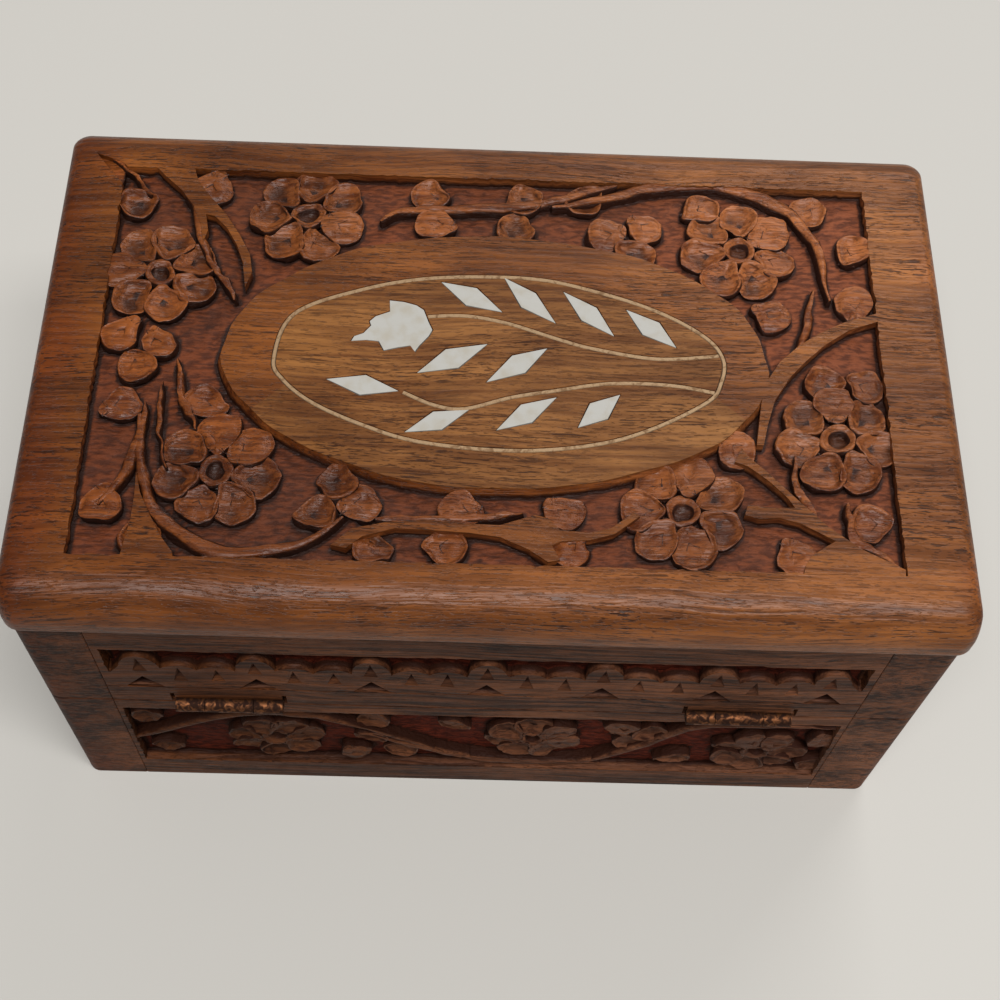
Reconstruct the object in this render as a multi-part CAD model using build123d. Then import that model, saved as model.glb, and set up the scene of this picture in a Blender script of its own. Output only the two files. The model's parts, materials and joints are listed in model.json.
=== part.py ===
# Carved jewellery box with a bone and brass inlay in its lid. All sizes are in millimetres.
# X runs along the length, Y from the opening side to the hinge side, and Z is up.
# The origin is the middle of the underside.
from build123d import *
import math
import os

# Boards and overall sizes
lid_length = 202.4
lid_depth = 127.0
panel_thickness = 12.0
panel_end_overhang = 0.2
panel_side_overhang = 2.5
panel_corner_radius = 4.0
panel_side_round = 9.0
panel_end_round = 3.5
base_height = 51.35
seam_gap = 0.3
rail_height = 43.35
end_board = 15.0
long_board = 13.0
body_corner_radius = 3.0
bottom_thickness = 5.0
bottom_rebate = 5.0

# Carving in the lid panel
lid_margin_ends = 14.9
lid_margin_sides = 13.5
lid_carving_offset = 1.0
carving_depth = 3.0
oval_length = 120.0
oval_depth = 66.0

# Flowers, buds and vines, which are left standing when the ground is cut away
petal_count = 6
petal_tip_share = 1.4
lid_flower_radius = 13.0
frieze_flower_radius = 11.6
petal_spacing_gap = 0.2
flower_eye_radius = 3.4
eye_strokes = 8
gouge_share = 0.55
gouge_strokes = 4
bud_radius = 4.3
bud_petals = 3
vine_width = 3.0
vine_end_share = 0.35
strokes_per_vine = 5
gouge_depth = 1.3

# Frieze round the base and band of petals round the lid rails
frieze_top_margin = 5.3
frieze_bottom_margin = 10.7
frieze_end_margin = 1.5
frieze_pitch = 59.5
long_frieze_flowers = 3
long_frieze_lead = 34.0
end_frieze_flowers = 2
frieze_sway = 3.4
band_bottom_margin = 8.6
band_height = 20.4
band_end_margin = 2.0
notch_pitch = 25.7
petals_per_notch = 3
petal_row_share = 0.42
tall_petal_share = 0.25
notch_width = 6.6
notch_height = 6.0

# Bone and brass inlay
ring_inset = 10.4
ring_bends = 44
wire_width = 1.0
wire_depth = 1.2
bone_depth = 1.5
inlay_clearance = 0.05
leaf_length_share = 0.70
leaf_width_share = 0.235

# Hinges
hinge_inset = 42.0
knuckle_radius = 1.75
pin_radius = 0.8
pin_clearance = 0.05
end_knuckle = 6.6
middle_knuckle = 11.0
knuckle_gap = 0.15
hinge_standoff = 0.7
leaf_thickness = 0.8
leaf_reach = 9.0
leaf_clearance = 0.05
knuckle_clearance = 0.35
kerf_width = 1.0
kerf_height = 5.0
kerf_depth = 2.5
screw_spacing = 14.0
screw_setback = 5.6
screw_head_radius = 1.5
screw_shank_radius = 0.7
screw_length = 8.0
screw_clearance = 0.05
screw_facets = 8

# Cloth lining
lining_thickness = 1.2
lining_setback = 2.0

# Places worked out from the sizes above
body_length = lid_length - 2 * panel_end_overhang
body_depth = lid_depth - 2 * panel_side_overhang
half_length = body_length / 2
half_depth = body_depth / 2
inner_half_length = half_length - end_board
inner_half_depth = half_depth - long_board
rail_bottom = base_height + seam_gap
panel_bottom = rail_bottom + rail_height
lid_top = panel_bottom + panel_thickness
hinge_x = half_length - hinge_inset
hinge_y = half_depth + hinge_standoff
hinge_z = base_height + seam_gap / 2
hinge_length = 2 * end_knuckle + middle_knuckle + 2 * knuckle_gap

# Looking square at each side of the box from outside, with X to the right and Y up
back_view = Plane(origin=(0, half_depth, 0), x_dir=(-1, 0, 0), z_dir=(0, 1, 0))
front_view = Plane(origin=(0, -half_depth, 0), x_dir=(1, 0, 0), z_dir=(0, -1, 0))
left_view = Plane(origin=(-half_length, 0, 0), x_dir=(0, -1, 0), z_dir=(-1, 0, 0))
right_view = Plane(origin=(half_length, 0, 0), x_dir=(0, 1, 0), z_dir=(1, 0, 0))


def block(low, high):
    """A block between its lowest and highest corners."""
    size = [high[i] - low[i] for i in range(3)]
    middle = [(high[i] + low[i]) / 2 for i in range(3)]
    return Pos(*middle) * Box(*size)


def body_ring(low, high):
    """The full body outline, rounded at its upright corners, between two heights."""
    outline = RectangleRounded(body_length, body_depth, body_corner_radius)
    return extrude(Pos(0, 0, low) * outline, high - low)


def end_wall(side, low, high):
    """A board across one end, over the full depth. side is 1 for the right end."""
    inner, outer = sorted((side * inner_half_length, side * half_length))
    board = block((inner, -half_depth, low), (outer, half_depth, high))
    return body_ring(low, high) & board


def long_wall(side, low, high):
    """A board between the two end boards. side is 1 for the hinge side."""
    inner, outer = sorted((side * inner_half_depth, side * half_depth))
    board = block((-inner_half_length, inner, low), (inner_half_length, outer, high))
    return board


def flower_petals(centre, radius, turn):
    """The petals of one flower, each as x, y, radius and the way that it points."""
    step = 360 / petal_count
    half_share = math.sin(math.radians(step / 2))
    reach = (radius + petal_spacing_gap / 2) / (1 + half_share)
    return around(centre, reach, radius - reach, petal_count, turn)


def cluster_petals(centre, turn):
    """A bud of a few petals round a point."""
    reach = bud_radius / math.sin(math.pi / bud_petals) + petal_spacing_gap / 2
    return around(centre, reach, bud_radius, bud_petals, turn)


def around(centre, reach, radius, count, turn):
    """Evenly spaced petals that point away from a centre."""
    petals = []
    for index in range(count):
        heading = turn + index * 360 / count
        x = centre[0] + reach * math.cos(math.radians(heading))
        y = centre[1] + reach * math.sin(math.radians(heading))
        petals.append((x, y, radius, heading))
    return petals


def petal_outlines(petals):
    """Each petal as six chisel strokes round its outer end and a tip behind."""
    corners = [(-petal_tip_share, 0)]
    for angle in (-125, -75, -25, 25, 75, 125):
        corners.append((math.cos(math.radians(angle)), math.sin(math.radians(angle))))
    outlines = []
    for x, y, radius, heading in petals:
        sized = [(radius * along, radius * across) for along, across in corners]
        outlines.append(Pos(x, y) * Rot(0, 0, heading) * make_face(Polyline(*sized, close=True)))
    return outlines


def eye_outlines(eyes):
    """The round middle of each flower, cut with straight strokes."""
    return [Pos(x, y) * RegularPolygon(radius, eye_strokes) for x, y, radius, heading in eyes]


def gouges(marks):
    """A pointed gouge sunk in the middle of each petal or eye, from the surface down."""
    cuts = []
    for x, y, radius, heading in marks:
        mouth = Rot(0, 0, heading) * RegularPolygon(gouge_share * radius, gouge_strokes)
        cuts.append(Pos(x, y) * loft([mouth.face(), Vertex(0, 0, -gouge_depth)]))
    return cuts


def strip(arcs, width, end_share=1.0):
    """A flat strip along arcs, cut with straight strokes and narrowed towards its two ends."""
    left = []
    right = []
    steps = strokes_per_vine * len(arcs)
    for index in range(steps + 1):
        arc, share = divmod(index / strokes_per_vine, 1)
        if index == steps:
            arc, share = len(arcs) - 1, 1
        curve = ThreePointArc(*arcs[int(arc)])
        point = curve @ share
        across = (curve % share).rotate(Axis.Z, 90)
        swell = end_share + (1 - end_share) * math.sin(math.pi * index / steps)
        left.append(point + across * (width * swell / 2))
        right.append(point - across * (width * swell / 2))
    return make_face(Polyline(*left, *reversed(right), close=True))


def vine(*points):
    """A raised vine along an arc through three points."""
    return strip([points], vine_width, vine_end_share)


def carve(board, view, ground, pits):
    """Cut the ground away to the carving depth, and sink the pits, seen in one view."""
    tools = [view * extrude(ground, -carving_depth)]
    for pit in pits:
        tools.append(view * pit)
    return board - tools


def frieze(length, height, lead, flower_count):
    """Ground and eye gouges of a vine that winds past a row of flowers in a long panel."""
    panel = Rectangle(length, height)
    crest = height / 2 - vine_width
    petals = []
    eyes = []
    vines = []
    for index in range(flower_count):
        x = lead - length / 2 + index * frieze_pitch
        swing = 1 if index % 2 == 0 else -1
        petals += flower_petals((x, -swing * frieze_sway), frieze_flower_radius, 90 * swing)
        eyes.append((x, -swing * frieze_sway, flower_eye_radius, 0))
        start = (x - frieze_pitch / 2, 0)
        end = (x + frieze_pitch / 2, 0)
        vines.append(vine(start, (x, swing * crest), end))
        if index > 0:
            for level in (-1, 1):
                rise = level * (height / 2 - bud_radius - 1)
                petals.append((start[0], rise, bud_radius, 90 * level))
    ground = panel - (petal_outlines(petals) + eye_outlines(eyes) + vines)
    return ground, gouges(eyes)


def petal_band(length):
    """Ground and notches of a row of petals with a taller one over each notch."""
    step = notch_pitch / petals_per_notch
    count = int(length / step)
    radius = step / 2
    low_row = band_height * petal_row_share
    petals = []
    notches = []
    stalks = [Pos(0, low_row / 2) * Rectangle(length, low_row)]
    for index in range(count):
        x = (index - (count - 1) / 2) * step
        rise = low_row
        if (index - (count - 1) // 2) % petals_per_notch == 0:
            rise += band_height * tall_petal_share
            corners = [(x - notch_width / 2, 0), (x + notch_width / 2, 0), (x, notch_height)]
            notches.append(extrude(make_face(Polyline(*corners, close=True)), -carving_depth))
        petals.append((x, rise, radius, 90))
        stalks.append(Pos(x, rise / 2) * Rectangle(2 * radius - 2 * petal_spacing_gap, rise))
    ground = Pos(0, band_height / 2) * Rectangle(length, band_height)
    return ground - (petal_outlines(petals) + stalks), notches


def carved_base_wall(board, view, span, flower_count, lead=None):
    """A base wall with its frieze, centred unless the first flower's place is given."""
    height = base_height - frieze_top_margin - frieze_bottom_margin
    length = span - 2 * frieze_end_margin
    if lead is None:
        lead = (length - (flower_count - 1) * frieze_pitch) / 2
    ground, pits = frieze(length, height, lead, flower_count)
    centre = Pos(0, frieze_bottom_margin + height / 2)
    return carve(board, view, centre * ground, [centre * pit for pit in pits])


def carved_rail(board, view, span):
    """A lid rail with its band of petals."""
    ground, notches = petal_band(span - 2 * band_end_margin)
    foot = Pos(0, rail_bottom + band_bottom_margin)
    return carve(board, view, foot * ground, [foot * notch for notch in notches])


def hinge_place(side):
    """The middle of one hinge's barrel. side is 1 for the right hinge, seen from the front."""
    return Pos(side * hinge_x, hinge_y, hinge_z)


def along_barrel(radius, low, high):
    """A round bar on the hinge axis between two distances from the middle of the barrel."""
    return Pos((low + high) / 2, 0, 0) * Rot(0, 90, 0) * Cylinder(radius, high - low)


def screw_places():
    """Where a leaf's screws go, from the middle of the barrel."""
    return [(side * screw_spacing / 2, -screw_setback) for side in (-1, 1)]


def hinge_leaf(up):
    """One leaf about the middle of its barrel. up is 1 for the lid leaf, -1 for the base leaf."""
    face = up * seam_gap / 2
    low, high = sorted((face, face + up * leaf_thickness))
    half = hinge_length / 2
    plate = block((-half, -leaf_reach, low), (half, 0, high))
    reach = middle_knuckle / 2
    middle_span = [(-reach, reach)]
    end_spans = [(-half, -half + end_knuckle), (half - end_knuckle, half)]
    own, other = (middle_span, end_spans) if up > 0 else (end_spans, middle_span)
    clear = knuckle_radius + knuckle_clearance
    for start, end in other:
        gap_start = start - knuckle_gap
        gap_end = end + knuckle_gap
        plate = plate - block((gap_start, -clear, -clear), (gap_end, clear, clear))
    for start, end in own:
        plate = plate + along_barrel(knuckle_radius, start, end)
    plate = plate - along_barrel(pin_radius + pin_clearance, -half, half)
    for x, y in screw_places():
        plate = plate - Pos(x, y, 0) * screw(up, screw_clearance)
    return plate


def screw(up, grow=0.0):
    """A countersunk screw, from the leaf's inner face into the wood, pointed at its end."""
    turn = Rot(180, 0, 0) if up > 0 else Rot(0, 0, 0)
    mouth = RegularPolygon(screw_head_radius + grow, screw_facets)
    neck = Pos(0, 0, -leaf_thickness) * RegularPolygon(screw_shank_radius + grow, screw_facets)
    head = loft([mouth.face(), neck.face()])
    shank = loft([neck.face(), Vertex(0, 0, -screw_length)])
    return Pos(0, 0, up * seam_gap / 2) * turn * (head + shank)


def hinge_mortise(up):
    """What is cut from the wood for one leaf: its seat, room for the barrel, and screw holes."""
    face = up * seam_gap / 2
    half = hinge_length / 2 + leaf_clearance
    low, high = sorted((face - up * seam_gap, face + up * (leaf_thickness + leaf_clearance)))
    seat = block((-half, -leaf_reach - leaf_clearance, low), (half, knuckle_radius, high))
    room = along_barrel(knuckle_radius + knuckle_clearance, -half, half)
    holes = [Pos(x, y, 0) * screw(up, screw_clearance) for x, y in screw_places()]
    return [seat, room] + holes


def saw_kerfs():
    """The two upright saw cuts that end the mortise in the lid rail."""
    half = hinge_length / 2 + leaf_clearance
    floor = -hinge_standoff - kerf_depth
    right = block((half, floor, -seam_gap), (half + kerf_width, knuckle_radius, kerf_height))
    left = block((-half - kerf_width, floor, -seam_gap), (-half, knuckle_radius, kerf_height))
    return [left, right]


def rounded_top(half, radius):
    """A cross-section of the lid panel with its two upper corners rounded."""
    edge = min(radius, panel_thickness - 0.5)
    bend = edge * (1 - math.cos(math.radians(45)))
    shoulder = lid_top - edge
    left = ThreePointArc((-half, shoulder), (-half + bend, lid_top - bend), (-half + edge, lid_top))
    right = ThreePointArc((half - edge, lid_top), (half - bend, lid_top - bend), (half, shoulder))
    top = Line(left @ 1, right @ 0)
    foot = Polyline(right @ 1, (half, panel_bottom), (-half, panel_bottom), left @ 0)
    return make_face([left, top, right, foot])


def lid_blank():
    """The lid panel before it is carved: rounded at its corners and along its top edges."""
    outline = RectangleRounded(lid_length, lid_depth, panel_corner_radius)
    board = extrude(Pos(0, 0, panel_bottom) * outline, panel_thickness)
    across = extrude(Plane.XZ * rounded_top(lid_length / 2, panel_end_round), lid_depth, both=True)
    along = extrude(Plane.YZ * rounded_top(lid_depth / 2, panel_side_round), lid_length, both=True)
    return board & across & along


# The lid's carving and the oval's inlay, each with a layout in shares of its own size
recess_length = lid_length - 2 * lid_margin_ends
recess_depth = lid_depth - 2 * lid_margin_sides
recess_centre = (lid_carving_offset, 0)
ring_half_length = oval_length / 2 - ring_inset
ring_half_depth = oval_depth / 2 - ring_inset


def in_recess(u, v):
    """A place in the lid's carving, as shares of its half length and half depth."""
    return (recess_centre[0] + u * recess_length / 2, recess_centre[1] + v * recess_depth / 2)


def in_ring(u, v):
    """A place in the inlay, as shares of the brass ring's half length and half depth."""
    return (u * ring_half_length, v * ring_half_depth)


# Flowers and buds of the lid: share along, share across, and turn in degrees
lid_flowers = [
    (0.87, -0.41, 20),
    (0.50, -0.76, 40),
    (-0.65, -0.64, 10),
    (-0.87, 0.36, 50),
    (-0.47, 0.74, 0),
    (0.67, 0.60, 30),
]
lid_clusters = [(0.91, -0.02, 90), (-0.37, -0.69, 30), (0.37, 0.72, 60), (-0.90, -0.16, 0)]
lid_vines = [
    ((0.99, -0.98), (0.75, -0.62), (0.62, -0.10)),
    ((0.30, -0.84), (0.0, -0.92), (-0.42, -0.94)),
    ((-0.42, -0.94), (-0.82, -0.74), (-0.94, -0.34)),
    ((-0.74, 0.20), (-0.84, 0.04), (-0.99, -0.10)),
    ((0.84, 0.28), (0.88, 0.72), (0.58, 0.94)),
    ((0.58, 0.94), (0.28, 0.84), (-0.20, 0.92)),
    ((-0.66, 0.44), (-0.74, 0.74), (-0.96, 0.98)),
]


def lid_ground():
    """Ground and gouges of the lid's carving."""
    petals = []
    eyes = []
    for u, v, turn in lid_flowers:
        petals += flower_petals(in_recess(u, v), lid_flower_radius, turn)
        eyes.append((*in_recess(u, v), flower_eye_radius, 0))
    for u, v, turn in lid_clusters:
        petals += cluster_petals(in_recess(u, v), turn)
    vines = []
    for points in lid_vines:
        vines.append(vine(*[in_recess(u, v) for u, v in points]))
    oval = Ellipse(oval_length / 2, oval_depth / 2)
    panel = Pos(*recess_centre) * Rectangle(recess_length, recess_depth)
    ground = panel - (petal_outlines(petals) + eye_outlines(eyes) + vines + [oval])
    return ground, gouges(petals + eyes)


# Inlay: a tulip, ten leaves, two stems and a ring
tulip_points = [
    (0.665, -0.19),
    (0.595, -0.43),
    (0.50, -0.55),
    (0.50, -0.68),
    (0.365, -0.61),
    (0.34, -0.505),
    (0.31, -0.335),
    (0.39, -0.075),
    (0.415, -0.16),
    (0.53, -0.085),
    (0.54, -0.19),
]
leaf_places = [
    (0.12, -0.70, 151),
    (-0.14, -0.69, 134),
    (-0.41, -0.54, 134),
    (-0.69, -0.39, 138),
    (0.20, 0.035, 28),
    (-0.09, 0.085, 35),
    (0.59, 0.37, 171),
    (0.26, 0.75, 24),
    (-0.13, 0.64, 34),
    (-0.45, 0.58, 43),
]
upper_stem_arcs = [((0.29, -0.51), (-0.03, -0.45), (-0.42, -0.18))]
upper_stem_arcs.append(((-0.42, -0.18), (-0.70, -0.085), (-0.965, -0.14)))
lower_stem_arcs = [((0.405, 0.42), (0.20, 0.545), (-0.02, 0.435))]
lower_stem_arcs.append(((-0.02, 0.435), (-0.49, 0.215), (-0.93, 0.285)))


def sunk(outline, depth):
    """A flat shape let into the lid's top face."""
    return Pos(0, 0, lid_top) * extrude(outline, -depth)


def tulip_outline():
    """The tulip, with its stalk end towards the upper stem."""
    return make_face(Polyline(*[in_ring(u, v) for u, v in tulip_points], close=True))


def leaf_outline(u, v, turn, grow=0.0):
    """A lozenge-shaped leaf."""
    along = leaf_length_share * ring_half_depth / 2 + 2 * grow
    across = leaf_width_share * ring_half_depth / 2 + grow
    corners = [(along, 0), (0, across), (-along, 0), (0, -across)]
    return Pos(*in_ring(u, v)) * Rot(0, 0, turn) * make_face(Polyline(*corners, close=True))


def stem_outline(arcs, width):
    """A wire along arcs, as a flat strip."""
    placed = [[in_ring(u, v) for u, v in arc] for arc in arcs]
    return strip(placed, width)


def ring_outline(width):
    """The oval wire, bent by hand in short straight runs, as a flat band."""
    return oval_of_runs(width / 2) - oval_of_runs(-width / 2)


def oval_of_runs(grow):
    """The oval that the ring follows, drawn by straight runs and grown by a distance."""
    corners = []
    for index in range(ring_bends):
        angle = 2 * math.pi * index / ring_bends
        x = (ring_half_length + grow) * math.cos(angle)
        corners.append((x, (ring_half_depth + grow) * math.sin(angle)))
    return make_face(Polyline(*corners, close=True))


# All pieces by name
pieces = {}

ground, pits = lid_ground()
top_view = Plane(origin=(0, 0, lid_top))
panel = carve(lid_blank(), top_view, ground, pits)
slot_width = wire_width + 2 * inlay_clearance
pockets = [sunk(ring_outline(slot_width), wire_depth)]
pockets.append(sunk(stem_outline(upper_stem_arcs, slot_width), wire_depth))
pockets.append(sunk(stem_outline(lower_stem_arcs, slot_width), wire_depth))
pockets.append(sunk(offset(tulip_outline(), inlay_clearance, kind=Kind.INTERSECTION), bone_depth))
for u, v, turn in leaf_places:
    pockets.append(sunk(leaf_outline(u, v, turn, inlay_clearance), bone_depth))
pieces["lid_top_panel"] = panel - pockets

pieces["brass_ring"] = sunk(ring_outline(wire_width), wire_depth)
pieces["brass_upper_stem"] = sunk(stem_outline(upper_stem_arcs, wire_width), wire_depth)
pieces["brass_lower_stem"] = sunk(stem_outline(lower_stem_arcs, wire_width), wire_depth)
pieces["bone_tulip"] = sunk(tulip_outline(), bone_depth)
for number, (u, v, turn) in enumerate(leaf_places, start=1):
    pieces[f"bone_leaf_{number}"] = sunk(leaf_outline(u, v, turn), bone_depth)

# Lid rails and base walls
long_span = 2 * inner_half_length
end_span = 2 * inner_half_depth
back_rail = carved_rail(long_wall(1, rail_bottom, panel_bottom), back_view, long_span)
front_rail = carved_rail(long_wall(-1, rail_bottom, panel_bottom), front_view, long_span)
left_rail = carved_rail(end_wall(-1, rail_bottom, panel_bottom), left_view, end_span)
right_rail = carved_rail(end_wall(1, rail_bottom, panel_bottom), right_view, end_span)

floor_seat = block(
    (-inner_half_length - bottom_rebate, -inner_half_depth - bottom_rebate, -1),
    (inner_half_length + bottom_rebate, inner_half_depth + bottom_rebate, bottom_thickness),
)
long_row = (long_span, long_frieze_flowers, long_frieze_lead)
end_row = (end_span, end_frieze_flowers)
back_wall = carved_base_wall(long_wall(1, 0, base_height), back_view, *long_row)
front_wall = carved_base_wall(long_wall(-1, 0, base_height), front_view, *long_row)
left_wall = carved_base_wall(end_wall(-1, 0, base_height), left_view, *end_row)
right_wall = carved_base_wall(end_wall(1, 0, base_height), right_view, *end_row)

for side in (-1, 1):
    place = hinge_place(side)
    back_rail = back_rail - [place * tool for tool in hinge_mortise(1) + saw_kerfs()]
    back_wall = back_wall - [place * tool for tool in hinge_mortise(-1)]

pieces["lid_back_rail"] = back_rail
pieces["lid_front_rail"] = front_rail
pieces["lid_left_rail"] = left_rail
pieces["lid_right_rail"] = right_rail
pieces["base_back_wall"] = back_wall - floor_seat
pieces["base_front_wall"] = front_wall - floor_seat
pieces["base_left_wall"] = left_wall - floor_seat
pieces["base_right_wall"] = right_wall - floor_seat
pieces["base_bottom_board"] = block(
    (-inner_half_length - bottom_rebate, -inner_half_depth - bottom_rebate, 0),
    (inner_half_length + bottom_rebate, inner_half_depth + bottom_rebate, bottom_thickness),
)

# Hinges
hinge_names = {-1: "left_hinge", 1: "right_hinge"}
for side, name in hinge_names.items():
    place = hinge_place(side)
    pieces[f"{name}_lid_leaf"] = place * hinge_leaf(1)
    pieces[f"{name}_base_leaf"] = place * hinge_leaf(-1)
    pieces[f"{name}_pin"] = place * along_barrel(pin_radius, -hinge_length / 2, hinge_length / 2)
for up, name in ((1, "lid_hinge_screws"), (-1, "base_hinge_screws")):
    screws = []
    for side in hinge_names:
        for x, y in screw_places():
            screws.append(hinge_place(side) * Pos(x, y, 0) * screw(up))
    pieces[name] = Compound(children=screws)


# Lining: a cloth-covered sheet on every inner face
def line_box(prefix, floor_low, floor_high, wall_low, wall_high):
    """Name and make the sheet on the floor and the four round it."""
    thick = lining_thickness
    x = inner_half_length
    y = inner_half_depth
    pieces[f"{prefix}_lining_{'floor' if prefix == 'base' else 'top'}"] = block(
        (-x, -y, floor_low), (x, y, floor_high)
    )
    pieces[f"{prefix}_lining_left"] = block((-x, -y, wall_low), (-x + thick, y, wall_high))
    pieces[f"{prefix}_lining_right"] = block((x - thick, -y, wall_low), (x, y, wall_high))
    pieces[f"{prefix}_lining_front"] = block((-x + thick, -y, wall_low), (x - thick, -y + thick, wall_high))
    pieces[f"{prefix}_lining_back"] = block((-x + thick, y - thick, wall_low), (x - thick, y, wall_high))


line_box(
    "base",
    bottom_thickness,
    bottom_thickness + lining_thickness,
    bottom_thickness + lining_thickness,
    base_height - lining_setback,
)
line_box(
    "lid",
    panel_bottom - lining_thickness,
    panel_bottom,
    rail_bottom + lining_setback,
    panel_bottom - lining_thickness,
)

os.makedirs("parts", exist_ok=True)
for name, shape in pieces.items():
    export_step(shape, f"parts/{name}.step")
    print(name, round(shape.volume, 1))
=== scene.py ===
# %% [markdown]
# # A carved keepsake box
# This lesson dresses a finished model of a small rosewood box. The real one is
# carved by hand with flowers and vines, and its lid has a plain oval with bone
# leaves and brass wire let into it. The CAD model already has every board, hinge
# and lining in its place, so each new piece is made straight at that place.

# %% Load the frame
import bmesh
import bpy
import json
import math
import random
from mathutils import Matrix, Vector
from mathutils.bvhtree import BVHTree

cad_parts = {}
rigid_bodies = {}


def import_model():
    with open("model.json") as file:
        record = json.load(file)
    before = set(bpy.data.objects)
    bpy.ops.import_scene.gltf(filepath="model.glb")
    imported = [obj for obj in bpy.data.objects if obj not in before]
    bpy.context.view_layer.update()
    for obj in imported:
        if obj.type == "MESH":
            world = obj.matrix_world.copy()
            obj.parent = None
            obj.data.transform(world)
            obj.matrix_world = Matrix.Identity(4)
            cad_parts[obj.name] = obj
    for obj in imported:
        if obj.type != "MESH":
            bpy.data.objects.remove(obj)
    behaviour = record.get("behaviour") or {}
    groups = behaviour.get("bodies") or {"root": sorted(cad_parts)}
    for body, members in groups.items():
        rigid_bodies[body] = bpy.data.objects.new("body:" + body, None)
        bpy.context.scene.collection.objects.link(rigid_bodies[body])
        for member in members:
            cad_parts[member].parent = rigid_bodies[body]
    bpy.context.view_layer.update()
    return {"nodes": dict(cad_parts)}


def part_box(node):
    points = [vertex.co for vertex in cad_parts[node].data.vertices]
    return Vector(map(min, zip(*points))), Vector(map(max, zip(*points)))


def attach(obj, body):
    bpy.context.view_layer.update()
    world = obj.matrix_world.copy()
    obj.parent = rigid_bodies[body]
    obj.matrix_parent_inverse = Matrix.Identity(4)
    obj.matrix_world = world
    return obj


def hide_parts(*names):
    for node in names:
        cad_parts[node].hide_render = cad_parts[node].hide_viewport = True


for leftover in list(bpy.data.objects):
    bpy.data.objects.remove(leftover)
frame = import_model()
MM = 0.001

# %% [markdown]
# ## Measures taken from the frame
# The boards say where everything is. The lid's top face, the outer faces of the
# four sides and the seam between lid and base are read once and named.

# %% Measures
panel_low, panel_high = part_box("lid_top_panel")
wall_low, wall_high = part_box("base_back_wall")
rail_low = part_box("lid_back_rail")[0]
end_low, end_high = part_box("base_right_wall")
lid_top = panel_high.z
half_length = end_high.x
half_depth = wall_high.y
inner_half_length = end_low.x
inner_half_depth = wall_low.y
base_top = wall_high.z
rail_bottom = rail_low.z
carving_depth = 3 * MM
print("lid top", round(lid_top / MM, 2), "seam", round(base_top / MM, 2), "mm")

# %% [markdown]
# ## Working by hand in code
# Blender's operators act on whatever is selected, so each step begins by letting
# go of everything. These helpers open one piece in edit mode, choose its faces or
# edges by their place, and settle its place into its mesh when it is done.


# %% Selecting and editing
def let_go():
    """Leave edit mode and select nothing."""
    if bpy.context.object and bpy.context.object.mode != "OBJECT":
        bpy.ops.object.mode_set(mode="OBJECT")
    bpy.ops.object.select_all(action="DESELECT")


def take(*pieces):
    """Select these pieces alone; the first one is active."""
    let_go()
    for piece in pieces:
        piece.select_set(True)
    bpy.context.view_layer.objects.active = pieces[0]


def open_piece(piece):
    """Open one piece in edit mode with all of it selected."""
    take(piece)
    bpy.ops.object.mode_set(mode="EDIT")
    bpy.ops.mesh.select_all(action="SELECT")


def choose(piece, kind, test):
    """In edit mode, select the corners, edges or faces whose middle passes a test."""
    bpy.ops.mesh.select_mode(type=kind)
    bpy.ops.mesh.select_all(action="DESELECT")
    form = bmesh.from_edit_mesh(piece.data)
    parts = {"VERT": form.verts, "EDGE": form.edges, "FACE": form.faces}[kind]
    for part in parts:
        if kind == "VERT":
            middle = part.co
        elif kind == "EDGE":
            middle = (part.verts[0].co + part.verts[1].co) / 2
        else:
            middle = part.calc_center_median()
        if test(middle, part):
            part.select_set(True)
    bmesh.update_edit_mesh(piece.data)


def settle(piece):
    """Put a piece's place, turn and size into its mesh."""
    take(piece)
    bpy.ops.object.transform_apply(location=True, rotation=True, scale=True)
    return piece


def finish_with(piece, kind, **settings):
    """Add a modifier and apply it at once."""
    modifier = piece.modifiers.new(kind.title(), kind)
    for key, value in settings.items():
        setattr(modifier, key, value)
    take(piece)
    bpy.ops.object.modifier_apply(modifier=modifier.name)
    return piece


def cut(piece, cutter, way="DIFFERENCE"):
    """Take one closed shape out of another, or keep what they share, and drop the cutter."""
    finish_with(
        piece,
        "BOOLEAN",
        object=cutter,
        operation=way,
        solver="EXACT",
        material_mode="TRANSFER",
    )
    bpy.data.objects.remove(cutter)
    return piece


def joined(name, pieces):
    """Join pieces into one under a new name."""
    take(*pieces)
    if len(pieces) > 1:
        bpy.ops.object.join()
    piece = bpy.context.view_layer.objects.active
    piece.name = name
    return piece


def copy_to(piece, place):
    """A copy with a mesh of its own, set down by a matrix."""
    twin = piece.copy()
    twin.data = piece.data.copy()
    twin.data.transform(place)
    bpy.context.scene.collection.objects.link(twin)
    return twin


def disc(name, corners, radius, level=0.0):
    """A flat disc, to be drawn up into a solid."""
    let_go()
    place = (0, 0, level)
    bpy.ops.mesh.primitive_circle_add(vertices=corners, radius=radius, fill_type="NGON", location=place)
    piece = bpy.context.active_object
    piece.name = name
    return piece


def raise_faces(rise):
    """In edit mode, draw the chosen faces up by so much, or down."""
    bpy.ops.mesh.extrude_region_move(TRANSFORM_OT_translate={"value": (0, 0, rise)})


def close_up():
    """Turn every face of the open piece outward and leave edit mode."""
    bpy.ops.mesh.select_all(action="SELECT")
    bpy.ops.mesh.normals_make_consistent(inside=False)
    let_go()


print("helpers ready")

# %% [markdown]
# ## Mixing colours and building shaders
# Colours are written as they look on screen, from 0 to 255, and turned into the
# linear numbers that Blender mixes. One small helper adds a shader node, sets its
# fields and links what comes into it.


# %% Shader helpers
def tone(red, green, blue):
    """A colour as seen on screen, in linear light."""
    shares = [value / 255 for value in (red, green, blue)]
    linear = [s / 12.92 if s <= 0.04045 else ((s + 0.055) / 1.055) ** 2.4 for s in shares]
    return (*linear, 1.0)


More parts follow.
